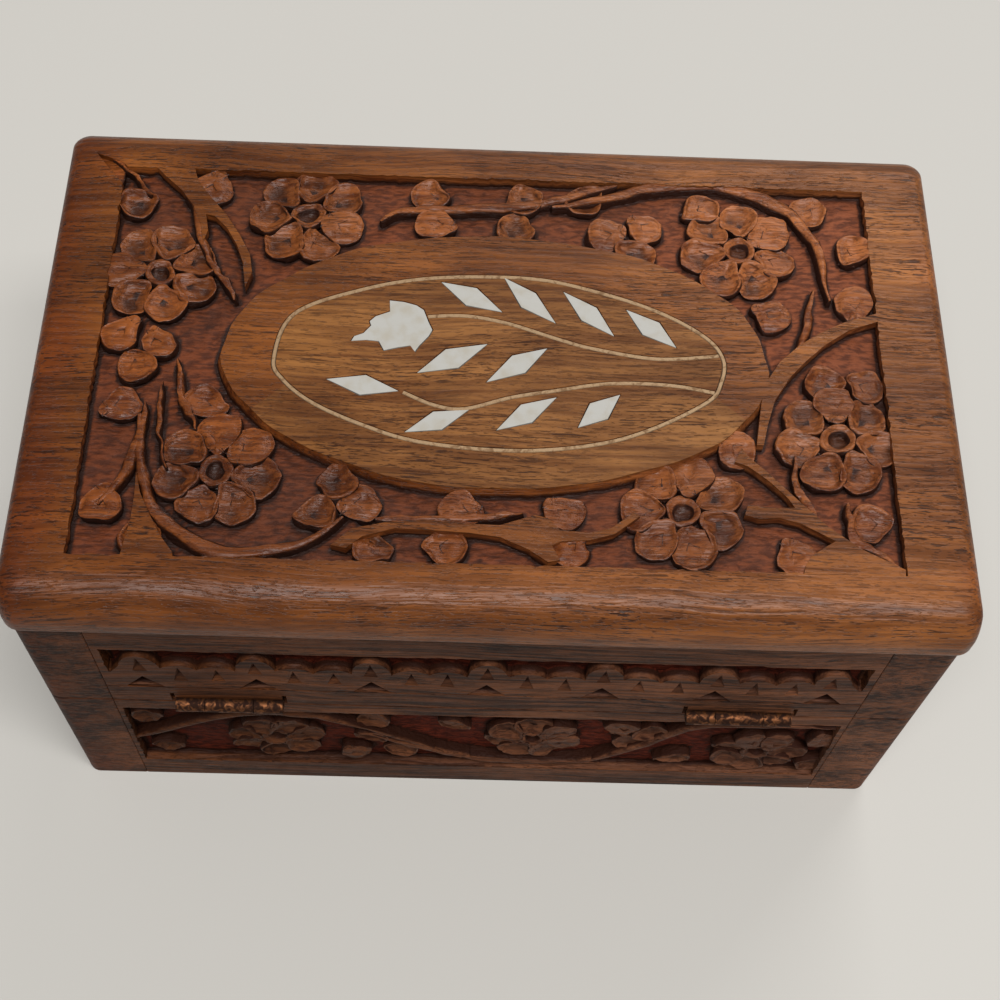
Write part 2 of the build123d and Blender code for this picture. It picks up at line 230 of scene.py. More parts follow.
def add_node(tree, kind, feeds=None, **settings):
    """Add a shader node. feeds are sockets linked or values set."""
    node = tree.nodes.new(kind)
    for key, value in settings.items():
        setattr(node, key, value)
    for socket, value in (feeds or {}).items():
        if isinstance(value, bpy.types.NodeSocket):
            tree.links.new(value, node.inputs[socket])
        else:
            node.inputs[socket].default_value = value
    return node


def blend_colours(tree, share, first, second, way="MIX"):
    """Mix two colours by a share, or multiply and so on."""
    feeds = {0: share, 6: first, 7: second}
    mix = add_node(tree, "ShaderNodeMix", feeds, data_type="RGBA", blend_type=way)
    return mix.outputs[2]


def between(tree, value, low, high):
    """A smooth step from 0 at low to 1 at high."""
    feeds = {"Value": value, "From Min": low, "From Max": high}
    step = add_node(tree, "ShaderNodeMapRange", feeds, interpolation_type="SMOOTHSTEP")
    return step.outputs["Result"]


def speckle(tree, place, scale, detail=2.0, distortion=0.0):
    """A noise pattern, as one value."""
    feeds = {"Vector": place, "Scale": scale, "Detail": detail, "Distortion": distortion}
    return add_node(tree, "ShaderNodeTexNoise", feeds).outputs["Fac"]


def reckon(tree, way, first, second):
    """One piece of arithmetic on two values."""
    return add_node(tree, "ShaderNodeMath", {0: first, 1: second}, operation=way).outputs[0]


def plus(tree, first, second):
    return reckon(tree, "ADD", first, second)


def times(tree, first, second):
    return reckon(tree, "MULTIPLY", first, second)


def tinted(tree, colour, tint):
    """A colour seen through another."""
    return blend_colours(tree, 1.0, colour, tint, "MULTIPLY")


def own_place(tree):
    """The object's own coordinates, in metres."""
    return add_node(tree, "ShaderNodeTexCoord").outputs["Object"]


def roughen(tree, shader, height, strength, distance):
    """Let a pattern of heights catch the light as small bumps."""
    feeds = {"Height": height, "Strength": strength, "Distance": distance}
    bump = add_node(tree, "ShaderNodeBump", feeds)
    tree.links.new(bump.outputs["Normal"], shader.inputs["Normal"])


def new_material(name):
    """A material with its tree and its shader."""
    material = bpy.data.materials.new(name)
    material.use_nodes = True
    return material, material.node_tree, material.node_tree.nodes["Principled BSDF"]


print("brown on screen 120, 78, 46 is", [round(v, 3) for v in tone(120, 78, 46)])

# %% [markdown]
# ## Rosewood
# The wood is sheesham: streaks run the length of a board, crossed by short dark
# pores. Noise is squeezed along the grain, because a noise pattern stretched one
# way looks like fibre. Where the knife has gone deeper, polish and dust have
# turned the wood redder, and the walls of the cuts are painted nearly black as
# shade, so every carved mesh carries a value named depth, and the colour follows
# it. The far side is painted paler as sheen and the near side darker as painted
# shade. The wood is also darker and redder towards +X and at the two ends, and
# paler and greyer towards -X.


# %% Rosewood
# Painted shade: the near-black of the walls of the cuts, where the shadow falls.
painted_wall_shade = tone(42, 19, 11)


def bent_place(tree):
    """The board's own place, drifting a little, so that no streak runs quite straight."""
    place = own_place(tree)
    warp = add_node(tree, "ShaderNodeTexNoise", {"Vector": place, "Scale": 16.0})
    feeds = {"Scale": 0.009, 0: warp.outputs["Color"]}
    drift = add_node(tree, "ShaderNodeVectorMath", feeds, operation="SCALE").outputs[0]
    feeds = {0: place, 1: drift}
    return place, add_node(tree, "ShaderNodeVectorMath", feeds, operation="ADD").outputs[0]


def pore_pattern(tree, along):
    """Short dark pores, crowded in some places and rare in others."""
    pores = between(tree, speckle(tree, along(0.07), 2400.0, 2.0), 0.57, 0.64)
    short = between(tree, speckle(tree, along(0.16), 3400.0, 1.0), 0.6, 0.68)
    pores = reckon(tree, "MAXIMUM", pores, times(tree, short, 0.8))
    crowd = between(tree, speckle(tree, along(0.2), 120.0, 2.0), 0.3, 0.7)
    return times(tree, pores, plus(tree, 0.35, times(tree, crowd, 0.6)))


def painted_sheen_shade_and_tone(tree, colour, bent, patch):
    """Paler far side as painted sheen, darker near side as painted shade; darker and redder to +X and at
    the ends.
    """
    parts = add_node(tree, "ShaderNodeSeparateXYZ", {"Vector": bent}).outputs
    # Darker and redder towards +X, paler and greyer towards -X.
    toward_minus_x = between(tree, parts["X"], 110 * MM, -110 * MM)
    colour = tinted(tree, colour, blend_colours(tree, toward_minus_x, (0.76, 0.68, 0.48, 1), (1.18, 1.25, 1.34, 1)))
    # Painted sheen: the far side paler; painted shade: the near side darker.
    painted_far_sheen_near_shade = between(tree, parts["Y"], 62 * MM, -62 * MM)
    colour = tinted(tree, colour, blend_colours(tree, painted_far_sheen_near_shade, (0.9, 0.86, 0.76, 1), (1.12, 1.14, 1.1, 1)))
    # Darker and redder at the two ends.
    ends = plus(tree, reckon(tree, "ABSOLUTE", parts["X"], 0.0), times(tree, patch, 7 * MM))
    toward_the_ends = between(tree, ends, 95 * MM, 106 * MM)
    return tinted(tree, colour, blend_colours(tree, toward_the_ends, (1, 1, 1, 1), (0.82, 0.64, 0.55, 1)))


def rosewood(name, plain, carved, bed, grain="X", shine=0.27, gloss=0.22, knot=None):
    """Oiled sheesham whose grain runs along one axis, with a knot where one is given.

    plain is a light, a dark and a pore tone; carved and bed are a dark and a light tone each.
    """
    light, dark, pore = plain
    material, tree, shader = new_material(name)
    place, bent = bent_place(tree)

    def along(squeeze):
        run = (squeeze, 1, 1) if grain == "X" else (0.45, squeeze, 1)
        return add_node(tree, "ShaderNodeMapping", {"Vector": bent, "Scale": run}).outputs["Vector"]

    broad = between(tree, speckle(tree, along(0.06), 110.0, 4.0, 0.5), 0.38, 0.62)
    fine = between(tree, speckle(tree, along(0.04), 900.0, 4.0), 0.36, 0.64)
    streak = plus(tree, times(tree, broad, 0.42), times(tree, fine, 0.58))
    patch = between(tree, speckle(tree, place, 26.0, 4.0, 0.6), 0.36, 0.66)
    pores = pore_pattern(tree, along)

    wood = blend_colours(tree, streak, dark, light)
    wood = tinted(tree, wood, blend_colours(tree, patch, (0.66, 0.62, 0.58, 1), (1, 1, 1, 1)))
    wood = blend_colours(tree, pores, wood, pore)
    if knot:
        near = add_node(tree, "ShaderNodeVectorMath", {0: bent, 1: knot}, operation="DISTANCE")
        eye = between(tree, near.outputs["Value"], 3.2 * MM, 0.6 * MM)
        wood = blend_colours(tree, times(tree, eye, 0.8), wood, pore)

    depth = add_node(tree, "ShaderNodeAttribute", attribute_name="depth").outputs["Fac"]
    worked = blend_colours(tree, streak, *carved)
    worked = blend_colours(tree, patch, blend_colours(tree, 0.3, worked, pore), worked)
    worked = blend_colours(tree, times(tree, pores, 0.6), worked, pore)
    chips = speckle(tree, along(0.3), 1100.0, 4.0)
    ground = blend_colours(tree, between(tree, chips, 0.36, 0.64), *bed)
    ground = blend_colours(tree, patch, blend_colours(tree, 0.35, ground, pore), ground)
    colour = blend_colours(tree, between(tree, depth, 0.02, 0.12), wood, worked)
    # Painted shade: the walls of the cuts, and the ground just beside them, go nearly black.
    colour = blend_colours(tree, between(tree, depth, 0.26, 0.5), colour, painted_wall_shade)
    colour = blend_colours(tree, between(tree, depth, 0.72, 0.94), colour, ground)
    tree.links.new(painted_sheen_shade_and_tone(tree, colour, bent, patch), shader.inputs["Base Color"])

    rough = plus(tree, shine, times(tree, speckle(tree, place, 300.0, 3.0), 0.2))
    rough = plus(tree, rough, times(tree, between(tree, depth, 0.3, 0.9), 0.35))
    tree.links.new(rough, shader.inputs["Roughness"])
    polish = plus(tree, gloss, times(tree, between(tree, depth, 0.03, 0.16), gloss * 0.1))
    tree.links.new(polish, shader.inputs["Specular IOR Level"])
    height = reckon(tree, "SUBTRACT", times(tree, fine, 0.5), pores)
    height = plus(tree, height, times(tree, times(tree, chips, depth), 4.5))
    roughen(tree, shader, height, 0.6, 0.25 * MM)
    return material


knot_place = (66 * MM, 58 * MM, lid_top - 2 * MM)
lid_plain = (tone(140, 84, 42), tone(92, 50, 21), tone(38, 18, 8))
lid_carved = (tone(90, 43, 19), tone(152, 88, 48))
lid_bed = (tone(78, 37, 20), tone(118, 61, 35))
oval_plain = (tone(150, 102, 60), tone(98, 58, 29), tone(52, 27, 12))
side_plain = (tone(126, 78, 52), tone(46, 24, 14), tone(24, 12, 8))
side_carved = (tone(66, 37, 26), tone(112, 70, 50))
side_bed = (tone(58, 20, 12), tone(94, 36, 22))
lid_wood = rosewood("lid rosewood", lid_plain, lid_carved, lid_bed, knot=knot_place)
oval_wood = rosewood("oval rosewood", oval_plain, lid_carved, lid_bed, shine=0.38, gloss=0.16)
side_wood = rosewood("side rosewood", side_plain, side_carved, side_bed, shine=0.42, gloss=0.08)
end_wood = rosewood("end rosewood", side_plain, side_carved, side_bed, "Y", 0.42, 0.08)
print("rosewoods:", [m.name for m in (lid_wood, oval_wood, side_wood, end_wood)])

# %% [markdown]
# ## Bone, brass and velvet
# Bone is nearly white with a faint yellow cloud and fine scratches. The wire is
# dull pale brass, and the hinges are old brass gone coppery with dark patches.
# Velvet is deep red, with a sheen where the pile turns away from the eye.


# %% Bone, brass and velvet
def bone_material():
    material, tree, shader = new_material("polished bone")
    place = own_place(tree)
    cloud = between(tree, speckle(tree, place, 300.0, 3.0), 0.4, 0.75)
    colour = blend_colours(tree, cloud, tone(165, 163, 157), tone(158, 152, 140))
    feeds = {"Vector": place, "Scale": (0.2, 1, 1)}
    fibre = speckle(tree, add_node(tree, "ShaderNodeMapping", feeds).outputs[0], 2500.0)
    colour = blend_colours(tree, times(tree, fibre, 0.12), colour, tone(150, 143, 130))
    tree.links.new(colour, shader.inputs["Base Color"])
    shader.inputs["Roughness"].default_value = 0.42
    roughen(tree, shader, fibre, 0.2, 0.1 * MM)
    return material


def brass_material(name, bright, tarnish, spread, roughness):
    material, tree, shader = new_material(name)
    place = own_place(tree)
    patch = between(tree, speckle(tree, place, 700.0, 5.0, 0.8), spread, spread + 0.24)
    colour = blend_colours(tree, patch, bright, tarnish)
    tree.links.new(colour, shader.inputs["Base Color"])
    shader.inputs["Metallic"].default_value = 0.9
    grit = speckle(tree, place, 1800.0, 3.0)
    rough = plus(tree, roughness, times(tree, patch, 0.25))
    rough = plus(tree, rough, times(tree, grit, 0.12))
    tree.links.new(rough, shader.inputs["Roughness"])
    roughen(tree, shader, grit, 0.3, 0.1 * MM)
    return material


def velvet_material():
    material, tree, shader = new_material("red velvet")
    place = own_place(tree)
    pile = speckle(tree, place, 2600.0, 3.0)
    brushed = between(tree, speckle(tree, place, 40.0, 3.0), 0.35, 0.65)
    colour = blend_colours(tree, pile, tone(70, 8, 16), tone(128, 22, 34))
    colour = blend_colours(tree, times(tree, brushed, 0.4), colour, tone(92, 12, 24))
    tree.links.new(colour, shader.inputs["Base Color"])
    shader.inputs["Roughness"].default_value = 0.9
    shader.inputs["Sheen Weight"].default_value = 0.6
    shader.inputs["Sheen Roughness"].default_value = 0.4
    shader.inputs["Sheen Tint"].default_value = tone(200, 90, 100)
    roughen(tree, shader, pile, 0.5, 0.3 * MM)
    return material


bone = bone_material()
wire_brass = brass_material("wire brass", tone(172, 144, 112), tone(148, 118, 88), 0.46, 0.55)
hinge_brass = brass_material("hinge brass", tone(112, 70, 42), tone(52, 32, 24), 0.34, 0.46)
velvet = velvet_material()
print("finishes:", bone.name, wire_brass.name, hinge_brass.name, velvet.name)

# %% [markdown]
# ## The bench
# All carving is made lying flat on a bench: X to the right, Y up the panel, and Z
# out of the wood, with the uncut surface at zero. A matrix then carries it to the
# lid or to one of the four sides, so one flower serves them all.


# %% Views of the box from the bench
def view_from(origin, right, out):
    """A matrix that carries bench work to a face of the box."""
    right = Vector(right)
    out = Vector(out)
    place = Matrix((right, out.cross(right), out)).transposed().to_4x4()
    place.translation = Vector(origin)
    return place


bench_to_lid = Matrix.Translation((0, 0, lid_top))
bench_to_side = {
    "back": view_from((0, half_depth, 0), (-1, 0, 0), (0, 1, 0)),
    "front": view_from((0, -half_depth, 0), (1, 0, 0), (0, -1, 0)),
    "left": view_from((-half_length, 0, 0), (0, -1, 0), (-1, 0, 0)),
    "right": view_from((half_length, 0, 0), (0, 1, 0), (1, 0, 0)),
}


def mark_depth(piece, place, panel):
    """Write how deep each corner lies below the uncut surface, from 0 to 1.

    panel is the half length, half height and middle of the carved part, where depth counts.
    """
    to_bench = place.inverted()
    half, rise, middle = panel
    depth = piece.data.attributes.get("depth")
    if depth is None:
        depth = piece.data.attributes.new("depth", "FLOAT", "POINT")
    for index, corner in enumerate(piece.data.vertices):
        spot = to_bench @ corner.co
        below = -spot.z / carving_depth
        outside = abs(spot.x - middle.x) > half or abs(spot.y - middle.y) > rise
        depth.data[index].value = 0 if outside or below > 1.5 else max(0, min(1, below))


def paint_rim_highlight_wall_shade(piece):
    """Write the depth value of bench work: low on rims as a painted highlight, middling on faces, high on
    walls and deep hollows as painted shade.
    """
    depth = piece.data.attributes.new("depth", "FLOAT", "POINT")
    for index, corner in enumerate(piece.data.vertices):
        flatness = max(0, min(1, (corner.normal.z - 0.35) / 0.45))
        rim = max(0, min(1, 1 + corner.co.z / (0.5 * MM)))
        sunk = max(0, min(1, (-corner.co.z - 1.1 * MM) / (1.2 * MM)))
        depth.data[index].value = 0.6 - flatness * (0.4 + 0.13 * rim) * (1 - 0.6 * sunk)


def paint_shade_beside_walls(board, relief, place, reach=1.0 * MM):
    """Paint shade near whatever stands up: pull the ground's depth value back to that of a wall close
    beside it.
    """
    out = place.to_3x3() @ Vector((0, 0, 1))
    to_bench = place.inverted()
    corners = [corner.co for corner in relief.data.vertices]
    walls = [list(face.vertices) for face in relief.data.polygons]
    shift = len(corners)
    corners += [corner.co for corner in board.data.vertices]
    for face in board.data.polygons:
        below = -(to_bench @ face.center).z
        if abs(face.normal.dot(out)) < 0.5 and 0.2 * MM < below < carving_depth:
            walls.append([shift + index for index in face.vertices])
    standing = BVHTree.FromPolygons(corners, walls)
    depth = board.data.attributes["depth"]
    for index, corner in enumerate(board.data.vertices):
        deep = depth.data[index].value
        if deep > 0.6:
            gap = standing.find_nearest(corner.co)[3]
            depth.data[index].value = 0.56 + (deep - 0.56) * min(1, gap / reach)


print("bench faces:", ["lid", *bench_to_side])

# %% [markdown]
# ## Petals
# A petal is a round blank, drawn in towards the flower's eye. Its walls go straight
# down, a narrow rounded rim catches the light, and the middle is scooped with a
# spoon gouge. Only three blanks are carved, and copies are turned, tilted and sized
# a little differently, as a carver's would be.

# %% Petal blanks
petal_length = 11.0 * MM
petal_width = 10.8 * MM
petal_root = -4.2 * MM


def petal_blank(name, scoops):
    """A petal with its outer end along +X. scoops are insets and how far each one sinks, in mm."""
    petal = disc(name, 18, 0.5, petal_root)
    petal.scale = (petal_length, petal_width, 1)
    settle(petal)
    open_piece(petal)
    for share, narrow in ((0.12, 0.94), (-0.1, 0.86), (-0.3, 0.74)):
        choose(petal, "VERT", lambda place, part: place.x < petal_length * share)
        bpy.ops.transform.resize(value=(1, narrow, 1), center_override=(0, 0, 0))
    bpy.ops.mesh.select_all(action="SELECT")
    raise_faces(-petal_root - 0.45 * MM)
    bpy.ops.transform.resize(value=(0.97, 0.97, 1), center_override=(0, 0, 0))
    bpy.ops.mesh.inset(thickness=0.28 * MM, depth=0.3 * MM)
    for width, sink in scoops:
        bpy.ops.mesh.inset(thickness=width * MM, depth=-sink * MM)
    bpy.ops.mesh.poke()
    close_up()
    finish_with(petal, "SUBSURF", levels=1, render_levels=1)
    return petal


scooped_petal = petal_blank("scooped petal", [(0.25, 0.0), (0.7, 0.75), (1.1, 0.6), (1.2, 0.15)])
full_petal = petal_blank("full petal", [(0.3, 0.3), (0.8, -0.35), (1.3, -0.3), (1.1, 0.6)])
flat_petal = petal_blank("flat petal", [(0.3, 0.02), (0.5, 0.7), (1.4, 0.15), (1.2, 0.1)])

# a facet left by one slanting cut across the flat petal
open_piece(flat_petal)
choose(flat_petal, "VERT", lambda place, part: place.z > -0.7 * MM and place.y > 0.8 * MM)
bpy.ops.transform.translate(value=(0, 0, -0.4 * MM), use_proportional_edit=True, proportional_size=0.002)
let_go()
petal_blanks = [scooped_petal, full_petal, flat_petal]
print("petal faces:", [len(p.data.polygons) for p in petal_blanks])

# %% [markdown]
# ## The flower's eye
# The middle of each flower is a small ring with an off-centre pit. It is turned
# from a disc: up for the wall, in and over for the rim, then down for the pit.


# %% Eye blank
def eye_blank():
    """A small ring with a pit in it, standing on the petals' level."""
    eye = settle(disc("flower eye", 20, 3.9 * MM, petal_root))
    open_piece(eye)
    raise_faces(-petal_root - 0.5 * MM)
    bpy.ops.mesh.inset(thickness=0.35 * MM, depth=0.25 * MM)
    bpy.ops.mesh.inset(thickness=0.5 * MM, depth=-0.05 * MM)
    bpy.ops.mesh.inset(thickness=0.4 * MM, depth=-0.5 * MM)
    bpy.ops.mesh.inset(thickness=0.5 * MM, depth=0.0)
    bpy.ops.transform.translate(value=(0.2 * MM, -0.15 * MM, 0))
    bpy.ops.mesh.inset(thickness=0.25 * MM, depth=-1.9 * MM)
    close_up()
    finish_with(eye, "SUBSURF", levels=1, render_levels=1)
    return eye


flower_eye = eye_blank()
print("eye faces:", len(flower_eye.data.polygons))

# %% [markdown]
# ## Setting petals out
# A flower is petals round an eye. Each one is tipped a few degrees, so that
# neighbours cross in a shallow valley, which is how the knife leaves them. The
# random numbers are seeded: the same box comes out every time.

# %% Petals, flowers and buds
carver = random.Random(7)


def set_petal(blank, x, y, heading, size=1.0, level=-0.1, tip=0.0):
    """A petal at a place in mm, pointing along a heading in degrees."""
    wander = carver.uniform(-4, 4)
    turn = Matrix.Rotation(math.radians(heading + wander), 4, "Z")
    lean = Matrix.Rotation(math.radians(tip + carver.uniform(-6, 8)), 4, "Y")
    roll = Matrix.Rotation(math.radians(carver.uniform(-10, 10)), 4, "X")
    long = size * carver.uniform(0.95, 1.06)
    wide = size * carver.uniform(0.94, 1.07)
    sized = Matrix.Diagonal((long, wide, 1, 1))
    drop = level - carver.uniform(0, 0.3)
    place = Matrix.Translation((x * MM, y * MM, drop * MM))
    return copy_to(blank, place @ turn @ lean @ roll @ sized)


def set_flower(x, y, turn, count=7, reach=8.6, size=1.0):
    """Petals round an eye."""
    parts = []
    for index in range(count):
        heading = turn + index * 360 / count
        swing = math.radians(heading)
        blank = petal_blanks[carver.choice((0, 0, 1, 2))]
        px = x + reach * math.cos(swing)
        py = y + reach * math.sin(swing)
        parts.append(set_petal(blank, px, py, heading, size, -0.15, 2))
    place = Matrix.Translation((x * MM, y * MM, -0.15 * MM))
    tilt = Matrix.Rotation(math.radians(carver.uniform(-5, 5)), 4, "X")
    spin = Matrix.Rotation(carver.uniform(0, 6), 4, "Z")
    parts.append(copy_to(flower_eye, place @ tilt @ spin))
    return parts


def set_buds(places, size=0.92):
    """Single petals, each pointing anywhere."""
    parts = []
    for x, y in places:
        blank = carver.choice(petal_blanks)
        parts.append(set_petal(blank, x, y, carver.uniform(0, 360), size, -0.25))
    return parts


print("carver's seed is set")

# %% [markdown]
# ## Vines
# A vine is a ridge left between two long cuts. It starts as a flat grid: along its
# length the grid follows a smooth route, and across it the rows fold into a
# section with a steep side and a sloping side. The ends narrow to a point.

# %% Ridges along a route
RIDGE = [
    (-1, -4.2), (-1, -1.3), (-0.72, -0.45), (-0.35, -0.08),
    (0.1, -0.06), (0.55, -0.4), (1, -1.5), (1, -4.2),
]


def smooth_route(points, share):
    """A place and a heading on a smooth curve through points."""
    spans = len(points) - 1
    span = min(int(share * spans), spans - 1)
    t = share * spans - span
    closed = points[0] == points[-1]
    before = points[span - 1] if span else points[-2 if closed else 0]
    start = points[span]
    end = points[span + 1]
    after = points[span + 2] if span + 2 <= spans else points[1 if closed else spans]
    place = []
    heading = []
    for a, b, c, d in zip(before, start, end, after):
        slope = c - a
        bend = 2 * a - 5 * b + 4 * c - d
        twist = 3 * (b - c) + d - a
        place.append(b + 0.5 * t * (slope + t * (bend + t * twist)))
        heading.append(0.5 * slope + t * bend + 1.5 * t * t * twist)
    return Vector(place), Vector(heading).normalized()


def ridge(name, points, width, section=RIDGE, taper=0.25, steps=30, ring=False):
    """A closed bar along a route in mm; taper is the width left at its two ends."""
    let_go()
    rows = len(section)
    bpy.ops.mesh.primitive_grid_add(x_subdivisions=steps, y_subdivisions=rows, size=1)
    bar = bpy.context.active_object
    bar.name = name
    for corner in bar.data.vertices:
        share = corner.co.x + 0.5
        side, level = section[round((corner.co.y + 0.5) * rows) % rows]
        place, heading = smooth_route(points, share)
        swell = 1 if ring else taper + (1 - taper) * math.sin(math.pi * share) ** 0.8
        place += Vector((-heading.y, heading.x)) * side * swell * width / 2
        corner.co = Vector((place.x, place.y, level)) * MM
    open_piece(bar)
    bpy.ops.mesh.remove_doubles(threshold=0.00001)
    if not ring:
        bpy.ops.mesh.select_mode(type="EDGE")
        bpy.ops.mesh.select_all(action="SELECT")
        bpy.ops.mesh.fill_holes(sides=0)
    close_up()
    return bar


print("a ridge has", len(RIDGE), "rows round it")

# %% [markdown]
# ## Cutting a panel
# The ground of a carved panel is a block that is taken out of the board. Its floor
# is a fine grid, roughened as a punch roughens it, and its border is nudged here
# and there, because the knife wanders. Cutting it out leaves one closed board.

# %% Ground cutters
punch = bpy.data.textures.new("punch marks", "CLOUDS")
punch.noise_scale = 0.0011
punch.noise_depth = 1
wander = bpy.data.textures.new("knife wander", "CLOUDS")
wander.noise_scale = 0.006
wander.noise_depth = 2
chisel = bpy.data.textures.new("chisel facets", "VORONOI")
chisel.noise_scale = 0.0026


def ground_block(name, length, height, cell, material, seed):
    """A block to cut out, from the rough ground up past the surface, in metres."""
    let_go()
    across = round(length / cell)
    up = round(height / cell)
    bpy.ops.mesh.primitive_grid_add(x_subdivisions=across, y_subdivisions=up, size=1)
    block = bpy.context.active_object
    block.name = name
    block.scale = (length, height, 1)
    block.location.z = -carving_depth
    settle(block)
    block.data.materials.append(material)
    finish_with(block, "DISPLACE", texture=punch, strength=0.7 * MM, mid_level=0.5)
    finish_with(block, "DISPLACE", texture=wander, strength=0.9 * MM, mid_level=0.5)
    finish_with(block, "DISPLACE", texture=chisel, strength=0.5 * MM, mid_level=0.4)
    knife = random.Random(seed)
    slip = 0.0
    for corner in block.data.vertices:
        at_side = abs(abs(corner.co.x) - length / 2) < cell / 4
        at_end = abs(abs(corner.co.y) - height / 2) < cell / 4
        if at_side or at_end:
            slip = 0.65 * slip + knife.uniform(-0.3, 0.3) * MM
            if at_side:
                corner.co.x += math.copysign(slip, corner.co.x)
            if at_end:
                corner.co.y += math.copysign(slip, corner.co.y)
    open_piece(block)
    bpy.ops.mesh.select_mode(type="EDGE")
    bpy.ops.mesh.select_all(action="DESELECT")
    bpy.ops.mesh.select_non_manifold()
    rise = {"value": (0, 0, carving_depth + 3 * MM)}
    bpy.ops.mesh.extrude_edges_move(TRANSFORM_OT_translate=rise)
    bpy.ops.mesh.edge_face_add()
    close_up()
    return block


print("punch marks", punch.noise_scale / MM, "mm apart")

# %% [markdown]
# ## The lid panel
# The panel is a thick board with small upright corners. Its long top edges are
# rounded over far more than its ends. The top face is raised in small steps, and at
# each step it is drawn in by as much as the two rounds have gone in at that level.

# %% Lid board
oval_length = 120 * MM
oval_depth = 66 * MM
corner_round = 4 * MM
side_round = 9 * MM
end_round = 3.5 * MM
lower_round = 0.9 * MM


def block_between(name, low, high):
    """A plain block to start from."""
    let_go()
    bpy.ops.mesh.primitive_cube_add(size=1, location=(low + high) / 2)
    block = bpy.context.active_object
    block.name = name
    block.scale = high - low
    return settle(block)


def upright(part):
    """Is this edge upright?"""
    run = part.verts[0].co - part.verts[1].co
    return abs(run.z) > 0.9 * run.length


def worn_back(level, radius):
    """How far a rounded edge has gone in at a level."""
    rise = min(radius, max(0, level - (panel_high.z - radius)))
    return radius - math.sqrt(radius * radius - rise * rise)


shoulder = Vector((panel_high.x, panel_high.y, panel_high.z - side_round))
lid_panel = block_between("carved_lid_panel", panel_low, shoulder)
lid_panel.data.materials.append(lid_wood)
lid_panel.data.materials.append(oval_wood)
open_piece(lid_panel)
choose(lid_panel, "EDGE", lambda place, part: upright(part))
bpy.ops.mesh.bevel(offset=corner_round, segments=8, affect="EDGES")
choose(lid_panel, "EDGE", lambda place, part: place.z < panel_low.z + 0.01 * MM)
bpy.ops.mesh.bevel(offset=lower_round, segments=3, affect="EDGES")
choose(lid_panel, "FACE", lambda place, part: part.normal.z > 0.9)
level = shoulder.z
half_size = Vector((panel_high.x, panel_high.y))
for angle in range(6, 91, 6):
    rise = panel_high.z - side_round * (1 - math.sin(math.radians(angle))) - level
    level += rise
    smaller = Vector((
        panel_high.x - worn_back(level, end_round),
        panel_high.y - worn_back(level, side_round),
    ))
    raise_faces(rise)
    shrink = (smaller.x / half_size.x, smaller.y / half_size.y, 1)
    bpy.ops.transform.resize(value=shrink, center_override=(0, 0, 0))
    half_size = smaller
bpy.ops.mesh.inset(thickness=0.4 * MM)
let_go()
print("lid board faces:", len(lid_panel.data.polygons))

# %% [markdown]
# ## Pockets for the inlay
# Bone and wire are let into pockets a hair wider than themselves, and the gap shows
# as a thin dark line. The pockets are cut first, while the board is still simple.

# %% Inlay shapes
LEAVES = [
    (1, 16.2, 151), (2, 16.8, 134), (3, 16.4, 134), (4, 15.1, 138), (5, 17.1, 28),
    (6, 16.3, 35), (7, 16.3, 171), (8, 15.0, 24), (9, 15.6, 34), (10, 12.9, 43),
]
TULIP = [
    (24.3, -14.2), (21.1, -13.9), (18.3, -13.1), (16.6, -11.9), (15.4, -8.6), (14.5, -6.6), (15.3, -4.9),
    (17.3, -2.3), (18.2, -0.7), (19.3, -2.3), (22.0, -1.7), (25.0, -0.8), (26.2, -3.2), (28.9, -3.4),
    (32.3, -3.0), (31.7, -4.3), (29.7, -5.2), (28.1, -7.3), (28.5, -8.4), (27.2, -9.8), (24.1, -11.2),
]
WIRE = [(-1, -1.2), (-1, -0.1), (-0.7, 0.04), (0.7, 0.04), (1, -0.1), (1, -1.2)]
GROOVE = [(-1, -1.3), (-1, 1.0), (1, 1.0), (1, -1.3)]
UPPER_STEM = [
    (15.6, -10.2), (7.1, -10.7), (-2.3, -9.0), (-13.8, -5.1), (-21.6, -2.9), (-35.4, -0.8), (-49.0, -2.1),
]
LOWER_STEM = [
    (20.3, 9.9), (13.5, 12.9), (6.9, 13.6), (-3.0, 10.4),
    (-12.2, 8.4), (-24.9, 6.0), (-38.0, 6.0), (-47.6, 7.6),
]
RING = [
    (48.9, 2.3), (45.4, -9.7), (31.1, -16.8), (14.5, -20.8), (-7.1, -21.5), (-21.8, -18.5), (-35.8, -13.5),
    (-46.2, -7.0), (-50.0, -1.1), (-49.2, 5.0), (-46.0, 10.0), (-33.6, 17.3), (-20.9, 21.7), (-3.5, 23.7),
    (16.3, 22.2), (29.2, 18.2), (39.8, 13.2), (46.4, 7.7), (48.9, 2.3),
]


wire_width = 0.9
groove_width = 1.15


def plate(name, corners, grow, low, high):
    """A flat plate from its outline in mm, with its corners just blunted."""
    flat = disc(name, len(corners), 1)
    middle = sum((Vector(c) for c in corners), Vector((0, 0))) / len(corners)
    for corner, (x, y) in zip(flat.data.vertices, corners):
        away = (Vector((x, y)) - middle).normalized() * grow
        corner.co = Vector((x + away.x, y + away.y, low)) * MM
    open_piece(flat)
    raise_faces((high - low) * MM)
    close_up()
    return flat


def leaf_corners(number, length, angle):
    """A lozenge, not quite even, at its node's place."""
    low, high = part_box(f"bone_leaf_{number}")
    middle = (low + high) / 2 / MM
    hand = random.Random(number)
    corners = []
    for side, reach in ((0, length / 2), (90, 2.6), (180, length / 2), (270, 2.6)):
        skew = hand.uniform(-8, 8) if reach < 3 else 0
        swing = math.radians(angle + side + skew)
        stretch = reach + hand.uniform(-0.25, 0.25)
        corners.append((middle.x + stretch * math.cos(swing), middle.y + stretch * math.sin(swing)))
    return corners


